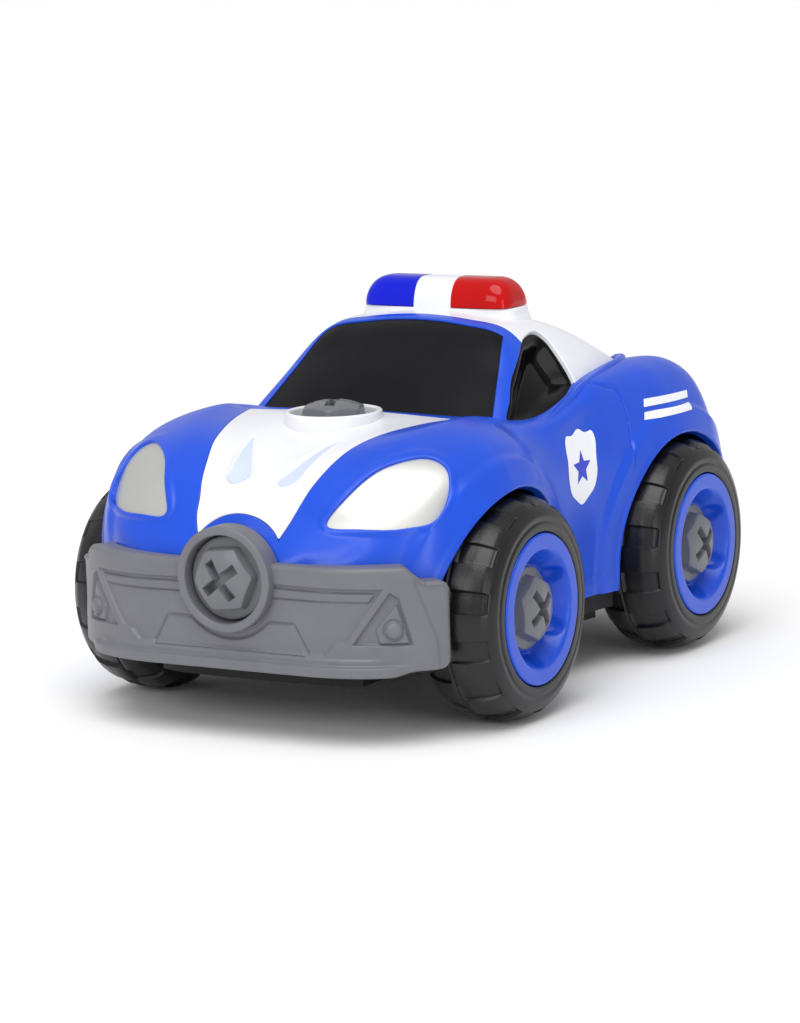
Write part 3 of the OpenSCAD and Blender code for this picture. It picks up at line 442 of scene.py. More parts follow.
def solid_piece(name, verts, faces, material, body, node, slot, angle):
    """Piece from points and faces, with edges sharper than angle left crisp."""
    mesh = bpy.data.meshes.new(name)
    mesh.from_pydata((np.asarray(verts) * MM).tolist(), [], [list(map(int, f)) for f in faces])
    bm = bmesh.new()
    bm.from_mesh(mesh)
    bmesh.ops.remove_doubles(bm, verts=bm.verts, dist=1e-6)
    bmesh.ops.recalc_face_normals(bm, faces=bm.faces)
    bm.to_mesh(mesh)
    bm.free()
    shade_smooth(mesh)
    mesh.set_sharp_from_angle(angle=math.radians(angle))
    mesh.update()
    add_piece(name, mesh, material, body, node)


# Materials. The fine noise is FINER times finer than the mottling, and the grain's depth is in metres.
FINER, GLOSS_SPREAD, GRAIN_DEPTH, COAT_ROUGH = 14, 0.15, 0.0004, 0.12


def plastic(name, rgb, rough, coat, vary, grain=0.04, metallic=0.0, scale=90.0, shine=0.5):
    """Moulded plastic: slight mottling in colour and gloss, and a fine skin from the mould."""
    mat = bpy.data.materials.new(name)
    mat.use_nodes = True
    nt = mat.node_tree

    def fill(node, values):
        for key, value in values.items():
            if isinstance(value, bpy.types.NodeSocket):
                nt.links.new(value, node.inputs[key])
            else:
                node.inputs[key].default_value = value
        return node

    def add(kind, values):
        return fill(nt.nodes.new(f"ShaderNode{kind}"), values)

    place = nt.nodes.new("ShaderNodeTexCoord").outputs["Object"]
    broad = add("TexNoise", {"Scale": scale, "Detail": 3, "Vector": place}).outputs["Fac"]
    fine = add("TexNoise", {"Scale": scale * FINER, "Detail": 2, "Vector": place}).outputs["Fac"]
    ramp = add("ValToRGB", {"Fac": broad})
    for stop, position, way in zip(ramp.color_ramp.elements, (0.3, 0.7), (-1, 1)):
        stop.position = position
        stop.color = (*[min(c * (1 + way * vary), 1) for c in rgb], 1)
    lo, hi = rough * (1 - GLOSS_SPREAD), rough * (1 + GLOSS_SPREAD)
    gloss = add("MapRange", {"Value": fine, "To Min": lo, "To Max": hi})
    bump = add("Bump", {"Height": fine, "Strength": grain, "Distance": GRAIN_DEPTH})
    fill(nt.nodes["Principled BSDF"], {
        "Base Color": ramp.outputs["Color"], "Roughness": gloss.outputs["Result"],
        "Normal": bump.outputs["Normal"], "Coat Weight": coat, "Coat Roughness": COAT_ROUGH,
        "Metallic": metallic, "Specular IOR Level": shine})
    return mat


def srgb(*rgb):
    """Linear colour from 0 to 255 per channel."""
    return [((c / 255 + 0.055) / 1.055) ** 2.4 if c > 10 else c / 255 / 12.92 for c in rgb]


# Each with its colour, roughness, coat, mottling and grain
BLUE = plastic("blue_plastic", srgb(11, 74, 206), 0.3, 0.12, 0.04, 0.012, shine=0.4)
WHITE = plastic("white_plastic", srgb(231, 232, 238), 0.32, 0.1, 0.02)
GREY = plastic("grey_plastic", srgb(108, 108, 115), 0.42, 0.06, 0.05, 0.09, shine=0.4)
BOLT = plastic("bolt_plastic", srgb(107, 108, 113), 0.36, 0.08, 0.05, 0.07, shine=0.4)
RUBBER = plastic("tyre_rubber", srgb(20, 20, 22), 0.3, 0.0, 0.18, 0.14, scale=60, shine=0.42)
PAN = plastic("floor_plastic", srgb(22, 22, 24), 0.5, 0.0, 0.12, 0.14, shine=0.25)
SCREEN = plastic("screen_plastic", srgb(26, 26, 28), 0.32, 0.0, 0.08, 0.05, shine=0.06)
CABIN = plastic("cabin_plastic", srgb(8, 8, 10), 0.15, 0.0, 0.08, 0.02, shine=0.12)
SILVER = plastic("lamp_silver", srgb(204, 204, 200), 0.36, 0.0, 0.015, 0.0008, metallic=0.62)
RED = plastic("lens_red", srgb(186, 5, 7), 0.1, 0.05, 0.06, 0.01, shine=0.25)
LENS_BLUE = plastic("lens_blue", srgb(13, 26, 200), 0.1, 0.05, 0.06, 0.01, shine=0.25)
TAIL_RED = plastic("tail_red", srgb(168, 6, 8), 0.1, 0.2, 0.06, 0.01, shine=0.4)
STEEL = plastic("screw_steel", srgb(170, 170, 172), 0.34, 0.0, 0.06, 0.08, metallic=1.0)
# Wheel wells: the body's blue plastic painted near black, as painted shade inside the arches
WELL_PAINTED_SHADE = plastic("well_painted_shade", srgb(7, 20, 64), 0.5, 0.0, 0.06, 0.1, shine=0.2)
# Bonnet scoops: pale blue painted shade in the recesses of the white bonnet
SCOOP_PAINTED_SHADE = plastic("scoop_painted_shade", srgb(200, 211, 234), 0.35, 0.1, 0.02)
PRINT = plastic("print_white", srgb(240, 241, 247), 0.34, 0.1, 0.02)
PRINT_BLUE = plastic("print_blue", srgb(20, 52, 200), 0.34, 0.1, 0.03)

# Outlines shared by the pieces
HOOD_AHEAD = 6
hood_x = np.linspace(HOOD_REAR, NOSE, 60)
hood_half = np.stack([hood_x, guide(hood_edge, hood_x)[:, 1]], 1)
hood_tip = [[NOSE + HOOD_AHEAD, HOOD_FRONT / 2 - 2], [NOSE + HOOD_AHEAD, 2 - HOOD_FRONT / 2]]
hood_line = np.vstack([hood_half, hood_tip, hood_half[::-1] * [1, -1]])
# A headlamp's outline lies in an upright plane that is turned outwards, from the front axle's middle.
LAMP_TURN, LAMP_AHEAD = math.radians(35), 8
lamp_line = closed_curve([
    [-3, 29.3], [3, 36.5], [13, 43.3], [25, 45.9], [31.5, 43.6], [32, 38], [27.5, 30.4], [18, 28.4],
    [6, 28.5]])
window_line = closed_curve(placed([
    [-33.6, 47.6], [-40, 53.4], [-47.9, 60.1], [-59.8, 67.4], [-67, 69.5], [-73.4, 69.6], [-75.6, 67],
    [-74.8, 61.2], [-73.6, 55], [-70.5, 52.8], [-59.4, 49.7], [-49.7, 46.6], [-42, 45.4]], FRONT_X, AXLE))
# Windscreen: its bowed foot and its straight top
GLASS_FOOT, GLASS_BOW, GLASS_HALF = front(-23.7), 7.3, 40
GLASS_TOP, GLASS_TOP_HALF = front(-56.2), 31
bow = np.linspace(-1, 1, 41)
glass_foot = np.stack([GLASS_FOOT - GLASS_BOW * bow ** 2, GLASS_HALF * bow], 1)
glass_line = np.vstack([glass_foot, [[GLASS_TOP, GLASS_TOP_HALF], [GLASS_TOP, -GLASS_TOP_HALF]]])
roof_line = np.array([
    [rear(-20), WING + 2.4], [rear(7.3), WING + 4.3], [rear(22.3), WING + 3.3], [rear(36), WING + 0.8],
    [front(-60.5), WING + 12], [front(-60.5), ROOF + 9], [rear(-20), ROOF + 9]])
tail_line = closed_curve(placed([
    [-30, 26.5], [-26, 22.5], [-16, 22.5], [-12, 26.5], [-12, 31.5], [-16, 35.5], [-26, 35.5],
    [-30, 31.5]], HALF, AXLE), 6)

# Signed distances to the outlines, negative inside, and FAR where an outline doesn't reach
FAR, ARCH_IN = 50.0, 42


def from_ring(p):
    """Distance from the axis of the bumper's ring."""
    return np.hypot(p[..., 1], p[..., 2] - RING_Z)


def hood_field(p):
    d = np.maximum(to_outline(p[:, :2], hood_line), RING_CUT - from_ring(p))
    return np.where(p[:, 2] > RING_Z - 4, d, FAR)


def lamp_field(p):
    c, s = math.cos(LAMP_TURN), math.sin(LAMP_TURN)
    x, y = p[:, 0] - FRONT_X, np.abs(p[:, 1])
    q = np.stack([-s * x + c * y, p[:, 2] - AXLE], 1)
    return np.where(c * x + s * y > LAMP_AHEAD, to_outline(q, lamp_line), FAR)


def tail_field(p):
    return np.where(p[:, 0] < tail(20), to_outline(np.stack([np.abs(p[:, 1]), p[:, 2]], 1), tail_line), FAR)


def arch_field(p):
    d = np.full(len(p), FAR)
    for x in (FRONT_X, REAR_X):
        r = np.hypot(p[:, 0] - x, p[:, 2] - AXLE) - ARCH
        low = np.maximum(np.abs(p[:, 0] - x) - ARCH, p[:, 2] - AXLE)
        d = np.minimum(d, np.minimum(r, low))
    return np.where(np.abs(p[:, 1]) > ARCH_IN, d, FAR)


def window_field(p):
    return to_outline(p[:, [0, 2]], window_line)


def glass_field(p):
    return to_outline(p[:, :2], glass_line)


def roof_field(p):
    return to_outline(p[:, [0, 2]], roof_line)


# The body and the cabin as dense lofts
BODY_STEPS, CAB_STEPS, HEIGHT_STEPS, NOWHERE = 30, 22, 132, -99.0


def stations(extra=()):
    """Places along the body, closer together where its ends turn."""
    back_end = TAIL_CX - (TAIL_CX - TAIL) * np.cos(np.radians(np.linspace(0, 90, 34)))
    between = np.linspace(TAIL_CX, NOSE_CX, 150)
    front_end = NOSE_CX + (NOSE - NOSE_CX) * np.sin(np.radians(np.linspace(0, 90, 76)))
    return np.unique(np.round(np.concatenate([back_end, between, front_end, *extra]), 4))


def lookup(x, yz):
    """Height of a loft's top at any x and distance from the middle."""
    ys = np.linspace(0, HALF, HEIGHT_STEPS + 1)
    table = np.stack([np.interp(ys, np.maximum.accumulate(r[:, 0]), r[:, 1], right=NOWHERE) for r in yz])

    def height(px, py):
        i = np.clip(np.interp(px, x, np.arange(len(x))), 0, len(x) - 1.001)
        j = np.clip(np.abs(py) / HALF * HEIGHT_STEPS, 0, HEIGHT_STEPS - 0.001)
        i0, j0 = i.astype(int), j.astype(int)
        u, w = i - i0, j - j0
        z = ((1 - u) * (1 - w) * table[i0, j0] + u * (1 - w) * table[i0 + 1, j0]
             + (1 - u) * w * table[i0, j0 + 1] + u * w * table[i0 + 1, j0 + 1])
        return np.where((px < x[0]) | (px > x[-1]), NOWHERE, z)
    return height


def above(height, sink):
    """Field that is positive over a loft's top, and down to sink below it."""
    return lambda p: p[:, 2] - height(p[:, 0], p[:, 1]) + sink


def left_side(p):
    """Field that is positive on the car's left."""
    return p[:, 1]


body_x = stations((np.arange(rear(21), rear(39), 0.3), np.arange(front(-25), front(-15), 0.35)))
body_yz = sections(body_points(body_x), BODY_STEPS)
body_grid = full_grid(body_x, body_yz)
cab_x = np.linspace(CAB_TAIL, CAB_NOSE, 190)
cab_yz = sections(cab_points(cab_x), CAB_STEPS)
cab_grid = full_grid(cab_x, cab_yz)
# The body's top ends halfway from the shoulder to the widest line.
z_body = lookup(body_x, body_yz[:, :3 * BODY_STEPS + 16])
z_cab = lookup(cab_x, cab_yz)

# Seams in the sides, as places along the car and heights
door_seam = open_curve(placed([
    [34.5, 54.4], [30.4, 53], [26.2, 51.6], [24.7, 47.7], [25, 41.5], [27, 32.5],
    [29.5, 25]], REAR_X, AXLE))
cowl_seam = open_curve(placed([[-27.5, 48.6], [-25.9, 47.6], [-24, 46.2], [-22.2, 44]], FRONT_X, AXLE))
sill_crease = np.array([[rear(40), over(-3.4)], [front(-40), over(-3.8)]])
FLARE, FLARE_LIP, LAMP_RIM, DOOR_DEPTH, CREASE_DEPTH = 1.25, 0.25, 0.45, 0.6, 0.5


def body_relief(p):
    """Wheel arch flares, lamp rims and the seams in the body's sides."""
    q = p.reshape(-1, 3)
    x, out, z = q[:, 0], np.abs(q[:, 1]), q[:, 2]
    d = np.minimum(np.hypot(x - FRONT_X, z - AXLE), np.hypot(x - REAR_X, z - AXLE)) - ARCH
    h = FLARE * fade(6.8, 9.8, d) * smooth(46, 56, out)
    h += FLARE_LIP * fade(0.5, 2.2, d) * smooth(44, 54, out)
    h += LAMP_RIM * fade(0.9, 2.4, lamp_field(q))
    side = smooth(46, 49, out)
    xz = q[:, [0, 2]]
    h -= DOOR_DEPTH * groove(to_line(xz, door_seam), 0.55) * side * smooth(over(26), over(36), z)
    h -= CREASE_DEPTH * groove(to_line(xz, cowl_seam), 0.42) * smooth(48, 50, out)
    h -= CREASE_DEPTH * groove(to_line(xz, sill_crease), 0.7) * side
    return h.reshape(p.shape[:2])


# Radii of the moulded edges, the gaps between panels, and how far the lofts sink into each other
EDGE_R, LAMP_R, ARCH_R, GLASS_R, WINDOW_R = 0.22, 0.5, 0.7, 0.4, 0.5
PANEL_GAP, ROOF_GAP, BODY_SINK, CAB_SINK, GLASS_SINK = 0.1, 0.08, 1.2, 1.0, 1.5
NOSE_HOLE = 9.5


def around(field, gap, r):
    """Field that is positive outside an outline, past a gap and the edge's radius."""
    return lambda p: field(p) - gap - r


def within(field):
    """Field that is positive inside an outline, less the edge's radius."""
    return lambda p: -field(p) - EDGE_R


def end_face(grid, at, x, way):
    """Flat face that closes an end of the body, rounded off towards its edge by the normals."""
    row = grid[at]
    edge = np.vstack([row, [[x, row[-1, 1], SILL], [x, row[0, 1], SILL]]])
    mid = np.array([[x, 0.0, (SILL + row[:, 2].max()) / 2]])
    v = np.vstack([mid, edge])
    k = len(edge)
    t = np.array([[0, 1 + i, 1 + (i + 1) % k] for i in range(k)])
    n = np.tile([way, 0.0, 0.0], (len(v), 1))
    n[1:len(row) + 1] = grid_normals(grid)[at]
    return v, n, t if way < 0 else t[:, ::-1]


hood_out, tail_out = around(hood_field, PANEL_GAP, EDGE_R), around(tail_field, PANEL_GAP, EDGE_R)
lamp_out, arch_out = around(lamp_field, 0.0, LAMP_R), around(arch_field, 0.0, ARCH_R)
body = clip(sheet(body_grid, relief=body_relief(body_grid)), above(z_cab, BODY_SINK))
body = cut_out(body, ((hood_out, EDGE_R, 2.2), (lamp_out, LAMP_R, 1.6), (tail_out, EDGE_R, 2.0),
                      (arch_out, ARCH_R, 2.0)))
nose_face = clip(end_face(body_grid, -1, NOSE, 1.0), lambda p: from_ring(p) - NOSE_HOLE)
tail_face = clip(end_face(body_grid, 0, TAIL, -1.0), tail_out)

cab = sheet(cab_grid)
roof_out, glass_out = around(roof_field, ROOF_GAP, EDGE_R), around(glass_field, 0.0, GLASS_R)
window_out = around(window_field, 0.0, WINDOW_R)
cab_body = cut_out(clip(cab, above(z_body, CAB_SINK)),
                   ((roof_out, EDGE_R, 2.4), (glass_out, GLASS_R, 2.4), (window_out, WINDOW_R, 2.4)))

# Raised bead along the belt line
BEAD_R = 1.25
bead_path = open_curve(placed([
    [front(-31), -17.5, 46.6], [front(-41), -16, 45], [front(-52), -16.5, 47.3], [rear(43), -17, 51.6],
    [rear(34), -17.2, 54], [rear(20), -18.5, 56], [rear(6), -20.5, 57], [rear(-6), -25, 56.6],
    [rear(-15), -34, 54.5]], 0, HALF, AXLE), 14)


def tube(path, r, sides=14):
    """Round tube along a path, with its radius at each point."""
    along = unit(np.gradient(path, axis=0))
    a = unit(np.cross(along, [0, 0, 1]))
    b = np.cross(a, along)
    ang = np.linspace(0, 2 * np.pi, sides + 1)
    n = a[:, None] * np.cos(ang)[:, None] + b[:, None] * np.sin(ang)[:, None]
    return as_sheet(path[:, None] + np.asarray(r)[:, None, None] * n, n)


k = np.linspace(0, 1, len(bead_path))
bead = tube(bead_path, BEAD_R * np.minimum(1, 12 * np.minimum(k, 1 - k) + 0.15))
shell = merge(body, cab_body, nose_face, tail_face, bead, mirrored(bead))
sheet_piece("body_moulding", shell, BLUE, "car", "body_shell")

# Wheel wells inside the arches: the inner wall, the outer edge, the radius, the foot and the hole for the hub
WELL_IN, WELL_OUT, WELL_R, WELL_LOW, HUB_HOLE = 42.6, 63.5, ARCH + 0.2, 19.5, 9.2
BODY_WALL = 1.8


def well(x, side):
    a = np.radians(np.linspace(-15, 195, 60))
    y = np.linspace(WELL_IN, WELL_OUT, 8)
    ring = np.stack([x + WELL_R * np.cos(a), AXLE + WELL_R * np.sin(a)], 1)
    p = np.stack([np.stack([ring[:, 0], np.full(len(a), v), ring[:, 1]], 1) for v in y], 1)
    plan = plan_y(np.clip(ring[:, 0], TAIL + 1, NOSE - 1)) - BODY_WALL
    p[:, :, 1] = np.minimum(p[:, :, 1], np.maximum(plan[:, None], WELL_IN))
    n = np.stack([-np.cos(a), np.zeros_like(a), -np.sin(a)], 1)[:, None].repeat(len(y), 1)
    b = np.radians(np.linspace(-90, 270, 73))
    at = np.full(len(b), WELL_IN)
    disc = np.stack([np.stack([x + r * np.cos(b), at, np.maximum(AXLE + r * np.sin(b), WELL_LOW)], 1)
                     for r in (HUB_HOLE, 14, 20, 26, ARCH + 0.3)], 1)
    s = merge(as_sheet(p, n), as_sheet(disc, np.tile([0.0, 1.0, 0.0], (*disc.shape[:2], 1))))
    return s if side > 0 else mirrored(s)


# The wells carry painted shade: near-black blue where shade falls inside the arches.
wells = merge(*[well(x, side) for x, side in SIDES.values()])
sheet_piece("wheel_wells", wells, WELL_PAINTED_SHADE, "car", "body_shell")

# Windscreen and roof
roof_in = within(roof_field)
glass = clip(sheet(cab_grid, -0.55), lambda p: 0.7 - glass_field(p))
glass = clip(glass, above(z_body, GLASS_SINK))
sheet_piece("windscreen_panel", glass, SCREEN, "car", "windscreen")
roof = clip(clip(clip(cab, roof_in), window_out), above(z_body, CAB_SINK))
roof = lip(lip(roof, roof_in, EDGE_R, 2.2), window_out, WINDOW_R, 2.4)
sheet_piece("roof_skin", roof, WHITE, "car", "roof_panel")


def inset(yz, d):
    t = np.gradient(yz, axis=1)
    t[:, 0] = [1, 0]
    n = np.stack([-t[..., 1], t[..., 0]], -1)
    return yz - d * unit(n)


# Black insert behind the side windows, dished inwards from their edges
INSERT_IN, INSERT_DISH, INSERT_FOOT, INSERT_END = 1.4, 4.4, 75, 5
inner_x = np.linspace(CAB_TAIL + INSERT_END, CAB_NOSE - INSERT_END, 200)
inner_yz = sections(cab_points(inner_x), 26)
edge_in = -window_field(half_grid(inner_x, inner_yz).reshape(-1, 3))
dished = INSERT_IN + INSERT_DISH * smooth(0.2, 5.5, edge_in).reshape(inner_yz.shape[:2])[..., None]
inner = clip(sheet(full_grid(inner_x, inset(inner_yz, dished))), lambda p: p[:, 2] - INSERT_FOOT)
sheet_piece("cabin_lining", inner, CABIN, "car", "cabin_insert")

# Lamps: the headlamps sit below the body's face, and the tail lamps stand out from it.
LAMP_IN, TAIL_PROUD = 0.45, 0.3
lamps = clip(sheet(body_grid, -LAMP_IN), lambda p: LAMP_R - lamp_field(p))
lamps = clip(lamps, left_side)
tail_in = within(tail_field)
tails = merge(sheet(body_grid, TAIL_PROUD), end_face(body_grid, 0, TAIL - TAIL_PROUD, -1.0))
tails = lip(clip(clip(tails, tail_in), left_side), tail_in, 0.6, 1.6)
LAMPS = (("headlamp_glass", "headlamp", lamps, SILVER, "lamp_silver"),
         ("tail_glass", "tail_lamp", tails, TAIL_RED, "tail_red"))
for name, node, s, material, slot in LAMPS:
    sheet_piece(f"{name}_left", s, material, "car", f"{node}_left")
    sheet_piece(f"{name}_right", mirrored(s), material, "car", f"{node}_right")

# Bonnet with its two scoops: teardrops from a narrow rear end to a wide front end
SCOOP_REAR, SCOOP_FRONT = np.array([front(15), 14.2]), np.array([front(32.5), 8.7])
SCOOP_REAR_R, SCOOP_FRONT_R = 1.2, 4.5
COLLAR_HOLE = 13.6
SCOOP_AREA = front(10), front(40)
nose_x = stations()[stations() > SCOOP_AREA[1]]
bonnet_x = np.unique(np.concatenate([
    np.linspace(HOOD_REAR - 2, SCOOP_AREA[0], 60), np.linspace(*SCOOP_AREA, 110), nose_x]))
bonnet_grid = full_grid(bonnet_x, sections(body_points(bonnet_x), 70, 0, 2))


def scoop_field(p):
    """Signed distance to a scoop's outline, negative inside."""
    run = SCOOP_FRONT - SCOOP_REAR
    q = np.stack([p[:, 0], np.abs(p[:, 1])], 1)
    t = np.clip((q - SCOOP_REAR) @ run / (run @ run), 0, 1)
    r = SCOOP_REAR_R + t * (SCOOP_FRONT_R - SCOOP_REAR_R)
    return np.linalg.norm(q - SCOOP_REAR - t[:, None] * run, axis=1) - r


def bonnet_relief(p):
    """The scoops, which deepen forwards."""
    q = p.reshape(-1, 3)
    deep = 0.25 + 1.15 * smooth(front(12), front(34), q[:, 0])
    return (-deep * fade(-1.5, 0.3, scoop_field(q))).reshape(p.shape[:2])


hood_in = within(hood_field)
bonnet = sheet(bonnet_grid, relief=bonnet_relief(bonnet_grid))
bonnet = clip(clip(bonnet, hood_in), lambda p: np.hypot(p[:, 0] - HOOD_BOLT_X, p[:, 1]) - COLLAR_HOLE)
bonnet = lip(bonnet, hood_in, EDGE_R, 2.2)
# Painted shade: a pale blue sheet inside each scoop, darker than the white bonnet, where shade falls in the
# recess.
scoop_shade_sheet = clip(sheet(bonnet_grid, 0.03, bonnet_relief(bonnet_grid)), lambda p: -scoop_field(p) - 1.15)
sheet_piece("bonnet_skin", bonnet, WHITE, "hood", "hood_panel")
sheet_piece("bonnet_scoop_shade", scoop_shade_sheet, SCOOP_PAINTED_SHADE, "hood", None)

# Turned pieces. An axis has the directions of angle 0, of a right angle and of height.
AXES = {"x": np.eye(3)[[1, 2, 0]], "y": np.eye(3)[[2, 0, 1]], "z": np.eye(3)}


def turn(profile, axis, centre, count=128, relief=None, angles=None):
    """Lathe of (radius, height) pairs about an axis through centre; closed when the profile is."""
    profile = np.asarray(profile, float)
    ang = np.linspace(0, 2 * np.pi, count, endpoint=False) if angles is None else angles
    u, w, k = AXES[axis]
    rad = np.repeat(profile[None, :, 0], len(ang), 0)
    lift = np.repeat(profile[None, :, 1], len(ang), 0)
    if relief is not None:
        dr, dh = relief(ang[:, None] * np.ones_like(rad), rad, lift)
        rad, lift = rad + dr, lift + dh
    way = np.cos(ang)[:, None, None] * u + np.sin(ang)[:, None, None] * w
    p = np.asarray(centre) + rad[..., None] * way + lift[..., None] * k
    return p.reshape(-1, 3), grid_quads(*p.shape[:2], True)


def rounded(points, r, steps=4, closed=False):
    """Polyline with its corners rounded by radius r."""
    p = np.asarray(points, float)
    out = []
    for i, c in enumerate(p):
        if not closed and i in (0, len(p) - 1):
            out.append(c)
            continue
        a, b = p[i - 1] - c, p[(i + 1) % len(p)] - c
        la, lb = np.linalg.norm(a), np.linalg.norm(b)
        d = min(r, la * 0.45, lb * 0.45)
        s, e = c + a / la * d, c + b / lb * d
        for t in np.linspace(0, 1, steps):
            out.append((1 - t) ** 2 * s + 2 * t * (1 - t) * c + t * t * e)
    return np.array(out)


# Cups that the heads of the bolts sit in, with a hole for the shank
CUP_R, BOLT_HOLE = 12.7, 4.1


def cup(outer, back_r, floor_r, back, top, floor):
    """Closed section of a cup, from the edge of its back round the outside to its floor."""
    return [[back_r, back], [outer, back], [outer, top], [CUP_R, top], [floor_r, floor], [BOLT_HOLE, floor],
            [BOLT_HOLE, back - 0.1], [back_r, back]]


collar = cup(outer=14.5, back_r=13.2, floor_r=12.7, back=79.8, top=86.4, floor=82)
v, q = turn(rounded(collar, 0.7), "z", (HOOD_BOLT_X, 0, 0))
solid_piece("bonnet_collar", v, q, WHITE, "hood", None, "bonnet_white", 50)

# Front bumper: a section swept round the nose, with its face in relief
FACE_X, CORNER_Y, CORNER_R = 103.0, 25.95, 44.05
CORNER_X, BUMPER_END, BUMPER_GAP = FACE_X - CORNER_R, front(ARCH + 0.6), 0.35
TOP_R, LOW_R, RING_HOLE = 1.5, 0.5, 14.6
s_end = CORNER_Y + CORNER_R * math.acos((BUMPER_END - CORNER_X) / CORNER_R)
s_val = np.linspace(-s_end, s_end, 480)
s_abs, s_side = np.abs(s_val), np.sign(s_val)
turned = np.maximum(s_abs - CORNER_Y, 0) / CORNER_R
out_dir = np.stack([np.cos(turned), s_side * np.sin(turned)], 1)
face_y = s_side * np.where(s_abs < CORNER_Y, s_abs, CORNER_Y + CORNER_R * np.sin(turned))
face_xy = np.stack([CORNER_X + CORNER_R * np.cos(turned), face_y], 1)
from_nose = face_xy - np.stack([np.full_like(s_val, NOSE_CX), np.clip(face_y, -NOSE_CY, NOSE_CY)], 1)
along = (from_nose * out_dir).sum(1)
thick = along - np.sqrt(np.maximum(along ** 2 - (from_nose ** 2).sum(1) + (NOSE_R + BUMPER_GAP) ** 2, 0))


def end_curve(length):
    """Quarter round over the last stretch of each end, from 0 to 1."""
    return 1 - np.sqrt(1 - np.clip((s_abs - (s_end - length)) / length, 0, 1) ** 2)


z_top = BUMPER_TOP - 4.5 * smooth(54, 61.5, s_abs) - 3.5 * end_curve(4)
z_low = BUMPER_LOW - 1 + 4.5 * end_curve(4) + 1.2 * smooth(50, 58, s_abs)
end_round = 2.0 * end_curve(2)

# Outlines on the bumper's face: distance from the middle along the sweep, and height
PANEL = [[-30, 47.2], [49.3, 46.2], [37.6, 30.4], [34.3, 29.6], [31.1, 26.6], [-30, 26.6]]
STRIP = [[12, 42.3], [44.6, 42.1], [46.6, 44.7], [12, 45.1]]
BLOCK = [[-30, 35], [21, 35], [25.6, 26.4], [-30, 26.4]]
BLOCK_EDGE = [[12.4, 35], [21, 35], [25.6, 27.0]]
FOG = [[50.4, 45.2], [39.2, 30.0], [57.2, 29.4], [53.2, 43.4]]
FOG_PLATE = [[52.5, 42.2], [46.0, 34.6], [47.0, 30.3], [56.2, 30.1]]
FOG_LENS_Y, FOG_LENS_Z, FOG_LENS_R, FOG_RING_R = 51.4, 34.2, 2.5, 2.9
WING_FOLD = [[57.5, 48], [59.1, 43.7], [63.9, 31.2], [64.5, 24.7]]


def bumper_relief(s, z):
    """Height of the bumper's face over its sweep, by distance from the middle and height."""
    q = np.stack([np.abs(s), z], -1).reshape(-1, 2)
    y, zz = q[:, 0], q[:, 1]
    ring = np.hypot(y, zz - RING_Z)
    h = -0.85 * fade(-0.9, 0.0, to_outline(q, PANEL))
    strip = to_outline(q, STRIP)
    h += 0.4 * fade(-0.25, 0.15, strip) - 0.35 * groove(strip, 0.3)
    arc = np.where((zz < 35.4) & (y < 12.6), np.abs(ring - RING_CUT), FAR)
    edge = np.minimum(to_line(q, BLOCK_EDGE), arc)
    block = np.maximum(to_outline(q, BLOCK), RING_CUT - ring)
    h += 0.45 * fade(-0.5, 0.1, block) - 0.5 * groove(edge, 0.42)
    h -= 1.2 * fade(-0.7, 0.0, to_outline(q, FOG))
    h += 0.85 * fade(-0.6, 0.05, to_outline(q, FOG_PLATE))
    lens = np.hypot(y - FOG_LENS_Y, zz - FOG_LENS_Z)
    h += 1.5 * np.sqrt(np.clip(1 - (lens / FOG_LENS_R) ** 2, 0, 1)) - 0.35 * groove(lens - FOG_RING_R, 0.3)
    fold = to_line(q, [*WING_FOLD, [64.5, 20]])
    beyond = to_outline(q, [[57.5, 60], *WING_FOLD, [64.5, 10], [90, 10], [90, 60]])
    h -= 0.45 * fade(-0.5, 0.1, beyond) + 0.3 * groove(fold, 0.35)
    h += 1.5 * fade(BUMPER_LOW + 1.7, BUMPER_LOW + 2.5, zz) * fade(49, 56, y)
    h += 0.5 * fade(BUMPER_LOW + 3.6, BUMPER_LOW + 4.4, zz) * fade(44, 50, y)
    return h.reshape(s.shape)


def bumper_row(out, z):
    """Points along the sweep at heights z, standing out from its face by out."""
    return np.concatenate([face_xy + (out - end_round)[:, None] * out_dir, z[:, None]], 1)


back = -thick + end_round
low_face = bumper_relief(s_val, z_low + 0.4)
rows = [bumper_row(back, z_low), bumper_row(low_face - 0.6, z_low), bumper_row(low_face - 0.15, z_low + 0.15)]
for t in np.linspace(0, 1, 150):
    z = z_low + LOW_R + (z_top - TOP_R - z_low - LOW_R) * t
    rows.append(bumper_row(bumper_relief(s_val, z), z))
for a in np.radians([18, 36, 54, 72, 90]):
    inwards = np.full_like(s_val, -TOP_R + TOP_R * math.cos(a))
    rows.append(bumper_row(inwards, z_top - TOP_R + TOP_R * math.sin(a)))
rows += [bumper_row(back, z_top), bumper_row(back, z_low)]
g = np.stack(rows, 1)
m, n = g.shape[:2]
caps = np.arange(m * n).reshape(m, n)[[0, -1], :-1].tolist()
quads = grid_quads(m, n).tolist() + [caps[0], caps[1][::-1]]
hole = (from_ring(g) < RING_HOLE).reshape(-1)
quads = [f for f in quads if len(f) > 4 or not all(hole[j] for j in f)]
solid_piece("bumper_moulding", g.reshape(-1, 3), quads, GREY, "bumper", "front_bumper", "bumper_grey", 60)
ring = cup(outer=15.3, back_r=14.0, floor_r=12.6, back=98.4, top=105.5, floor=100)
v, q = turn(rounded(ring, 0.8, 5), "x", (0, 0, RING_Z))
solid_piece("bumper_ring", v, q, GREY, "bumper", None, "bumper_grey", 50)

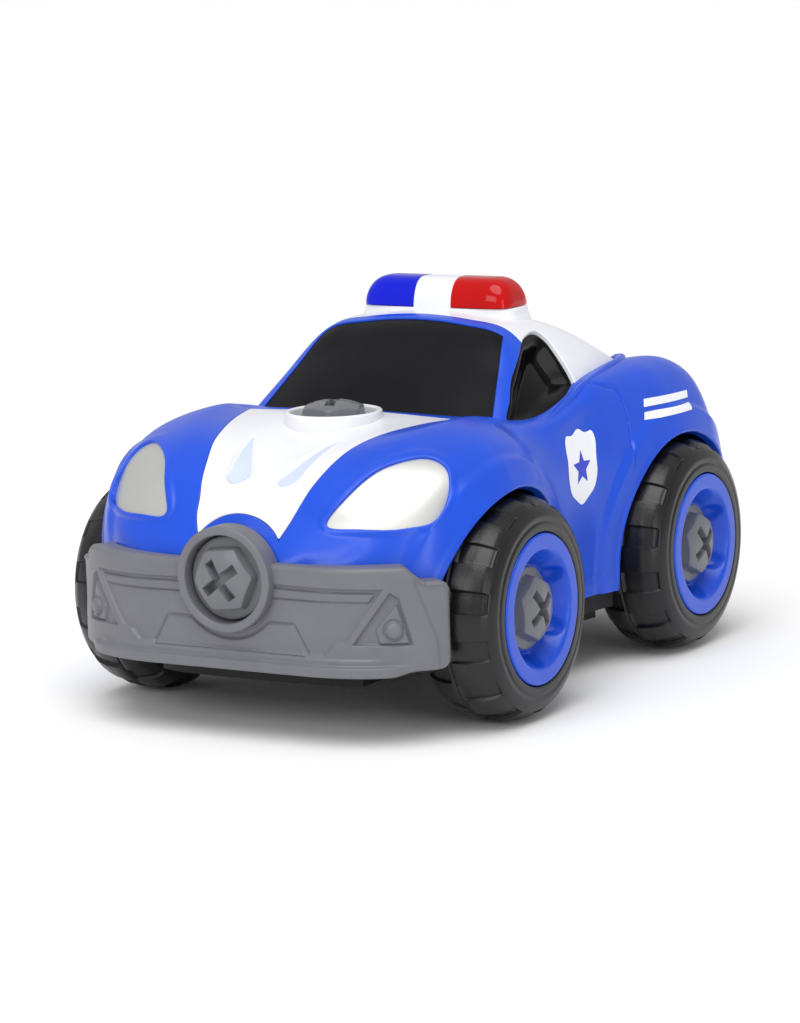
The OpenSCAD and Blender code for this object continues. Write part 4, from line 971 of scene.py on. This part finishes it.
# Wheels: sections as radius and distance from the inner side
TYRE_R, BARS, TREAD_DEPTH, MIDDLE_GROOVE = 33.0, 14, 1.0, 0.5
tread = rounded([
    [20, 1.2], [27, 0], [30.2, 1.6], [32.2, 4.5], [33, 8.5], [33, 14], [32.4, 18], [31.2, 21.3],
    [29.2, 23.6], [26.6, 24.6], [25.2, 24.35], [24.6, 24.75], [22.2, 24.8], [22.2, 22.6],
    [20, 22.6]], 0.9, 5)
rim_profile = rounded([
    [19.9, 2], [19.9, 22.8], [22, 22.8], [22, 24.6], [21.6, 25], [17.5, 25], [16.9, 24.3], [13.6, 18.6],
    [12.6, 17.8], [4.1, 17.8], [4.1, -1.7], [9, -1.7], [9, 13.4], [18, 15.2], [18, 2], [19.9, 2]], 0.5, 4)
POCKETS, POCKET_DEPTH, POCKET_R, POCKET_LONG, POCKET_WIDE = 6, 2.4, 14.9, 3.3, 2.3


def denser(p, step):
    out = [p[0]]
    for a, b in zip(p[:-1], p[1:]):
        k = max(1, int(np.linalg.norm(b - a) / step))
        out += [a + (b - a) * (i + 1) / k for i in range(k)]
    return np.array(out)


# Angles of the tyre's points, close together at the edges of the recesses in its tread
edges = np.array([1.5, 2.8, 3, 3.15, 3.3, 3.45])
offsets = np.concatenate([[-3.6], -edges[::-1], [0], edges]) / TYRE_R
recesses = 2 * np.pi * (np.arange(2 * BARS) / 2) / BARS
tyre_angles = np.sort((recesses[:, None] + offsets).reshape(-1) % (2 * np.pi))
tyre_angles = tyre_angles[np.concatenate([[True], np.diff(tyre_angles) > 1e-3])]


def tread_relief(ang, rad, lift):
    """Recesses across both shoulders, half a pitch apart, and a groove round the middle."""
    pitch = 2 * np.pi / BARS

    def recess(start):
        return fade(2.95, 3.5, np.abs((ang - start + pitch / 2) % pitch - pitch / 2) * TYRE_R)

    outer = recess(0.0) * smooth(11.6, 12.2, lift)
    inner_side = recess(pitch / 2) * fade(9.8, 10.4, lift)
    cut = np.maximum(outer, inner_side) * smooth(29.6, 30.6, rad)
    middle_cut = MIDDLE_GROOVE * groove(lift - 11, 0.5) * smooth(32, 32.8, rad)
    return -TREAD_DEPTH * cut - middle_cut * (1 - cut), 0 * rad


def rim_relief(ang, rad, lift):
    """Oval pockets round the rim's dish."""
    pitch = 2 * np.pi / POCKETS
    off = ((ang + pitch / 2) % pitch - pitch / 2) * rad
    oval = np.clip(1 - (off / POCKET_LONG) ** 2 - ((rad - POCKET_R) / POCKET_WIDE) ** 2, 0, 1)
    face = (lift > 17.2) & (rad > 11) & (rad < 18)
    return 0 * rad, np.where(face, -POCKET_DEPTH * smooth(0, 0.75, oval), 0)


tyre_v, tyre_q = turn(denser(tread, 0.5), "y", (0, 0, 0), relief=tread_relief, angles=tyre_angles)
rim_v, rim_q = turn(denser(rim_profile, 0.6), "y", (0, 0, 0), 192, rim_relief)
WHEEL_SKINS = (("tyre", tyre_v, tyre_q, RUBBER, "tyre_black"), ("rim", rim_v, rim_q, BLUE, "rim_blue"))
for where, (x, side) in SIDES.items():
    for kind, verts, quads, material, slot in WHEEL_SKINS:
        p = verts * [1, side, 1] + [x, side * WHEEL_IN, AXLE]
        solid_piece(f"{kind}_skin_{where}", p, quads, material, f"wheel_{where}", f"{kind}_{where}", slot, 42)

# Bolts: a shank, a flange and a domed hexagon with a cross slot
HEAD, FLANGE, HEX, SHANK, SHANK_L = 7.2, 12.0, 9.8, 4.0, 32.0
DOME, DOME_POWER, SLOT_HALF, SLOT_WIDE, SLOT_DEPTH = 2.4, 2.4, 6.3, 1.4, 3.2
bolt_a = np.radians(np.arange(0, 360, 1.5))
hex_r = np.minimum(HEX * math.cos(math.pi / 6) / np.cos(bolt_a % (math.pi / 3) - math.pi / 6), HEX - 0.25)


def slot_bar(u, w):
    """Signed distance to one bar of the cross slot, negative inside."""
    return np.maximum(np.abs(u) - SLOT_HALF, np.abs(w) - SLOT_WIDE)


def bolt_form():
    """Points and faces of a bolt along z, with the underside of its flange at zero."""
    rad = hex_r[:, None] * np.linspace(0, 0.97, 46)
    c, s = np.cos(bolt_a)[:, None], np.sin(bolt_a)[:, None]
    cross = np.minimum(slot_bar(rad * c, rad * s), slot_bar(rad * s, rad * c))
    z = HEAD - DOME * (rad / HEX) ** DOME_POWER - SLOT_DEPTH * fade(-0.35, 0.1, cross)
    edge = HEAD - DOME * (hex_r / HEX) ** DOME_POWER
    side = [(hex_r * 0.992, edge - 0.12), (hex_r, edge - 0.45), (hex_r + 0.2, 2.5), (hex_r + 0.6, 2.0),
            (FLANGE - 0.5, 2.0), (FLANGE - 0.15, 1.85), (FLANGE, 1.5), (FLANGE, 0.3), (FLANGE - 0.3, 0.0),
            (SHANK, 0.0), (SHANK, 0.6 - SHANK_L), (SHANK - 0.6, -SHANK_L), (0.0, -SHANK_L)]
    rad = np.concatenate([rad] + [np.broadcast_to(r, bolt_a.shape)[:, None] for r, _ in side], 1)
    z = np.concatenate([z] + [np.broadcast_to(h, bolt_a.shape)[:, None] for _, h in side], 1)
    return np.stack([rad * c, rad * s, z], -1).reshape(-1, 3), grid_quads(*rad.shape, True)


bolt_v, bolt_q = bolt_form()


def put_bolt(node, name, seat, axes, turned):
    """A bolt with its seat at a place; axes are the directions of its own x, y and z."""
    c, w = math.cos(math.radians(turned)), math.sin(math.radians(turned))
    ex, ey, ez = np.array(axes, float)
    p = np.array(seat) + bolt_v @ np.stack([c * ex + w * ey, c * ey - w * ex, ez])
    solid_piece(name, p, bolt_q, BOLT, node, node, "bolt_grey", 38)


BUMPER_HEAD = front(59)
put_bolt("bumper_bolt", "bumper_bolt_soft", (BUMPER_HEAD - HEAD, 0, RING_Z),
         ([0, 0, -1], [0, 1, 0], [1, 0, 0]), 36)
put_bolt("hood_bolt", "hood_bolt_soft", (HOOD_BOLT_X, 0, HOOD_SEAT), np.eye(3), 20)
for where, (x, side) in SIDES.items():
    put_bolt(f"bolt_{where}", f"wheel_bolt_soft_{where}", (x, side * (WHEEL_Y + 0.3 - HEAD), AXLE),
             ([1, 0, 0], [0, 0, -1], [0, side, 0]), 35)


# The rear bumper keeps its solid's form, with softened edges.
def softened(node, name, material, body, width):
    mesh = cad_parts[node].data.copy()
    mesh.name = name
    bm = bmesh.new()
    bm.from_mesh(mesh)
    bmesh.ops.remove_doubles(bm, verts=bm.verts, dist=2e-6)
    bmesh.ops.dissolve_limit(bm, angle_limit=math.radians(0.6), verts=bm.verts, edges=bm.edges)
    sharp = [e for e in bm.edges if len(e.link_faces) == 2 and e.calc_face_angle(0) > math.radians(28)]
    bmesh.ops.bevel(bm, geom=sharp, offset=width * MM, segments=3, profile=0.5, affect="EDGES",
                    clamp_overlap=True)
    bm.to_mesh(mesh)
    bm.free()
    shade_smooth(mesh)
    mesh.set_sharp_from_angle(angle=math.radians(40))
    mesh.update()
    add_piece(name, mesh, material, body, node)


softened("rear_bumper", "rear_bumper_soft", GREY, "car", 0.9)

# Light bar: two round-ended lenses each side of a white block on a white foot
BAR_X, BAR_Z, BAR_D, BAR_W, LENS_H, MID_W = rear(32.5), ROOF + 0.7, 18.0, 51.0, 9.0, 13.0
LENS_END, END_POWER, LENS_GAP, FOOT_SINK = 8.0, 2.3, 0.1, 0.6


def dome(y0, y1, low, high, round_end, grow=0.0):
    """Half-round bar across the car from y0 to y1, softly squared, with its far end rounded if asked."""
    around = np.linspace(0, np.pi, 41)
    c, s = np.cos(around), np.sin(around)
    rows = []
    for t in np.linspace(0, 1, 45):
        y = y0 + (y1 - y0) * t
        end = 1.0
        if round_end:
            d = min(abs(y - y1) / LENS_END, 1.0)
            end = (1 - (1 - d) ** END_POWER) ** (1 / END_POWER)
        x = np.sign(c) * np.abs(c) ** 0.62 * (BAR_D / 2 + grow - 1.4 * s) * (0.5 + 0.5 * end)
        z = low + (high - low) * np.abs(s) ** 0.7 * (0.1 + 0.9 * end)
        rows.append(np.stack([BAR_X + x, np.full_like(x, y), z], 1))
    p = np.stack(rows)
    m, n = p.shape[:2]
    i = np.arange(m * n).reshape(m, n)
    q = grid_quads(m, n).tolist() + [i[0].tolist(), i[-1][::-1].tolist()]
    q += [[i[a, 0], i[a, -1], i[a + 1, -1], i[a + 1, 0]] for a in range(m - 1)]
    return p.reshape(-1, 3), q


for colour, material, side in (("red", RED, 1), ("blue", LENS_BLUE, -1)):
    v, q = dome(side * (MID_W / 2 + LENS_GAP), side * BAR_W / 2, BAR_Z + 0.2, BAR_Z + LENS_H, True)
    solid_piece(f"lens_glass_{colour}", v, q, material, "car", f"lens_{colour}", f"lens_{colour}", 45)
v, q = dome(-MID_W / 2, MID_W / 2, BAR_Z - 1, BAR_Z + LENS_H - 0.1, False, -0.1)
solid_piece("bar_block", v, q, WHITE, "car", "lightbar_base", "bar_white", 45)


def foot():
    """Foot of the light bar, from its flat top down onto the roof."""
    a = np.radians(np.linspace(0, 360, 97)[:-1])
    c, s = np.cos(a), np.sin(a)
    cx = np.sign(c) * np.abs(c) ** 0.45 * BAR_D / 2
    cy = np.sign(s) * np.abs(s) ** 0.45 * (BAR_W + 2) / 2
    levels = [(0.0, 0.0), (0.9, 0.0), (0.985, -0.12), (1.0, -0.5), (1.0, -1.6), (1.02, -2.6), (1.05, -ROOF)]
    rows = []
    for k, z in levels:
        x, y = BAR_X + cx * k, cy * k
        rows.append(np.stack([x, y, np.maximum(BAR_Z + z, z_cab(x, y) - FOOT_SINK)], 1))
    p = np.stack(rows, 1)
    return p.reshape(-1, 3), grid_quads(*p.shape[:2], True)


solid_piece("bar_foot", *foot(), WHITE, "car", "lightbar_base", "bar_white", 50)

# Plain shield with a star on each door and two plain stripes on each rear wing
SHIELD_X, SHIELD_Z, LEAN = front(-57.2), over(32), 0.16
STAR_R, STAR_IN, STAR_DROP = 5.4, 2.4, 0.8
PRINT_LIFT, STAR_LIFT = 0.08, 0.12
mark_x = np.linspace(rear(-18), front(-44), 330)
mark_grid = half_grid(mark_x, sections(body_points(mark_x), 46, 2, 5))


def leaning(points):
    """Print shapes drawn upright about their middle, leaning with the door."""
    p = np.array(points, float)
    return np.stack([SHIELD_X + p[:, 0] - LEAN * p[:, 1], SHIELD_Z + p[:, 1]], 1)


shield_half = [[3.8, 8.9], [7.4, 9.8], [8.6, 6.4], [8.1, 2], [8.7, -3], [7.4, -7.6], [3.6, -10]]
other_half = [[-u, w] for u, w in shield_half[::-1]]
shield = leaning(rounded([[0, 11.2], *shield_half, [0, -12], *other_half], 2.2, 6, True))
star_a, star_r = math.pi * np.arange(10) / 5, np.array([STAR_R, STAR_IN] * 5)
star = leaning(np.stack([star_r * np.sin(star_a), star_r * np.cos(star_a) - STAR_DROP], 1))
upper_stripe = placed([[15.8, 44.7], [-10.6, 44.2], [-12, 46.3], [14.4, 47]], REAR_X, AXLE)
lower_stripe = placed([[17.7, 41], [-8.2, 40.8], [-9.6, 42.9], [16.4, 43.2]], REAR_X, AXLE)


def print_on(lift, line):
    """Thin print on both sides of the body, inside an outline."""
    s = sheet(mark_grid, lift, body_relief(mark_grid))
    s = clip(s, lambda p: -to_outline(p[:, [0, 2]], line))
    return merge(s, mirrored(s))


sheet_piece("door_shield", print_on(PRINT_LIFT, shield), PRINT, "car", None)
sheet_piece("door_star", print_on(STAR_LIFT, star), PRINT_BLUE, "car", None)
stripe_prints = merge(print_on(PRINT_LIFT, upper_stripe), print_on(PRINT_LIFT, lower_stripe))
sheet_piece("wing_stripes", stripe_prints, PRINT, "car", None)

# The solids that show as they are
for node, material in (("chassis", PAN), ("chassis_screws", STEEL)):
    for material_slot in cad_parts[node].material_slots:
        material_slot.material = material

# Floor, light and camera, in metres
FLOOR, SKY, SUN, SUN_ANGLE, CARD_AIM = 12, 0.56, 1.78, 46, (0, 0, 0.05)
floor = bpy.data.meshes.new("floor")
corners = [(-FLOOR, -FLOOR, 0), (FLOOR, -FLOOR, 0), (FLOOR, FLOOR, 0), (-FLOOR, FLOOR, 0)]
floor.from_pydata(corners, [], [(0, 1, 2, 3)])
floor.materials.append(plastic("floor_white", (0.95, 0.95, 0.95), 0.9, 0.0, 0.004, 0.0, scale=3, shine=0.1))
floor_ob = add_object("floor", floor)
world = bpy.data.worlds.new("studio")
bpy.context.scene.world = world
world.use_nodes = True
world.node_tree.nodes["Background"].inputs["Color"].default_value = (1, 1, 1, 1)
world.node_tree.nodes["Background"].inputs["Strength"].default_value = SKY


def facing(place, back, roll=0.0):
    """Matrix of a lamp or camera at a place, with the direction behind it and its roll."""
    back = unit(np.array(back))
    right = unit(np.cross([0, 0, 1], back))
    up = np.cross(back, right)
    c, s = math.cos(roll), math.sin(roll)
    right, up = c * right + s * up, c * up - s * right
    return Matrix([[right[i], up[i], back[i], place[i]] for i in range(3)] + [[0, 0, 0, 1]])


def card(name, place, size, power):
    """Soft rectangular lamp aimed at the car."""
    light = bpy.data.lights.new(name, "AREA")
    light.shape = "RECTANGLE"
    light.size, light.size_y = size
    light.energy = power
    add_object(name, light).matrix_world = facing(place, np.array(place) - CARD_AIM)


sun = bpy.data.lights.new("sky_panel", "SUN")
sun.energy, sun.angle = SUN, math.radians(SUN_ANGLE)
add_object("sky_panel", sun).rotation_euler = (math.radians(-8), math.radians(22), 0)
card("side_card", (0.75, 0.95, 0.3), (0.25, 0.7), 1.6)
card("front_card", (1.1, -0.1, 0.6), (0.7, 0.35), 2.4)

# The camera stands where the photograph was taken; its focal length is in pixels of the photograph.
FOCAL, PHOTO_H, SENSOR = 3717.1, 1023, 36
CAM_PLACE, CAM_AZIMUTH, CAM_RISE, CAM_ROLL = (0.97064, 0.56175, 0.24457), 30.1722, 9.8862, -1.8306
azimuth, rise = math.radians(CAM_AZIMUTH), math.radians(CAM_RISE)
behind = (math.cos(azimuth) * math.cos(rise), math.sin(azimuth) * math.cos(rise), math.sin(rise))
cam = bpy.data.cameras.new("photo_view")
cam.sensor_fit, cam.sensor_height = "VERTICAL", SENSOR
cam.lens = FOCAL / PHOTO_H * SENSOR
cam.clip_start, cam.clip_end = 0.05, 20
cam_ob = add_object("photo_view", cam)
cam_ob.matrix_world = facing(CAM_PLACE, behind, math.radians(CAM_ROLL))
bpy.context.scene.camera = cam_ob
bpy.context.scene.view_settings.view_transform = "Standard"
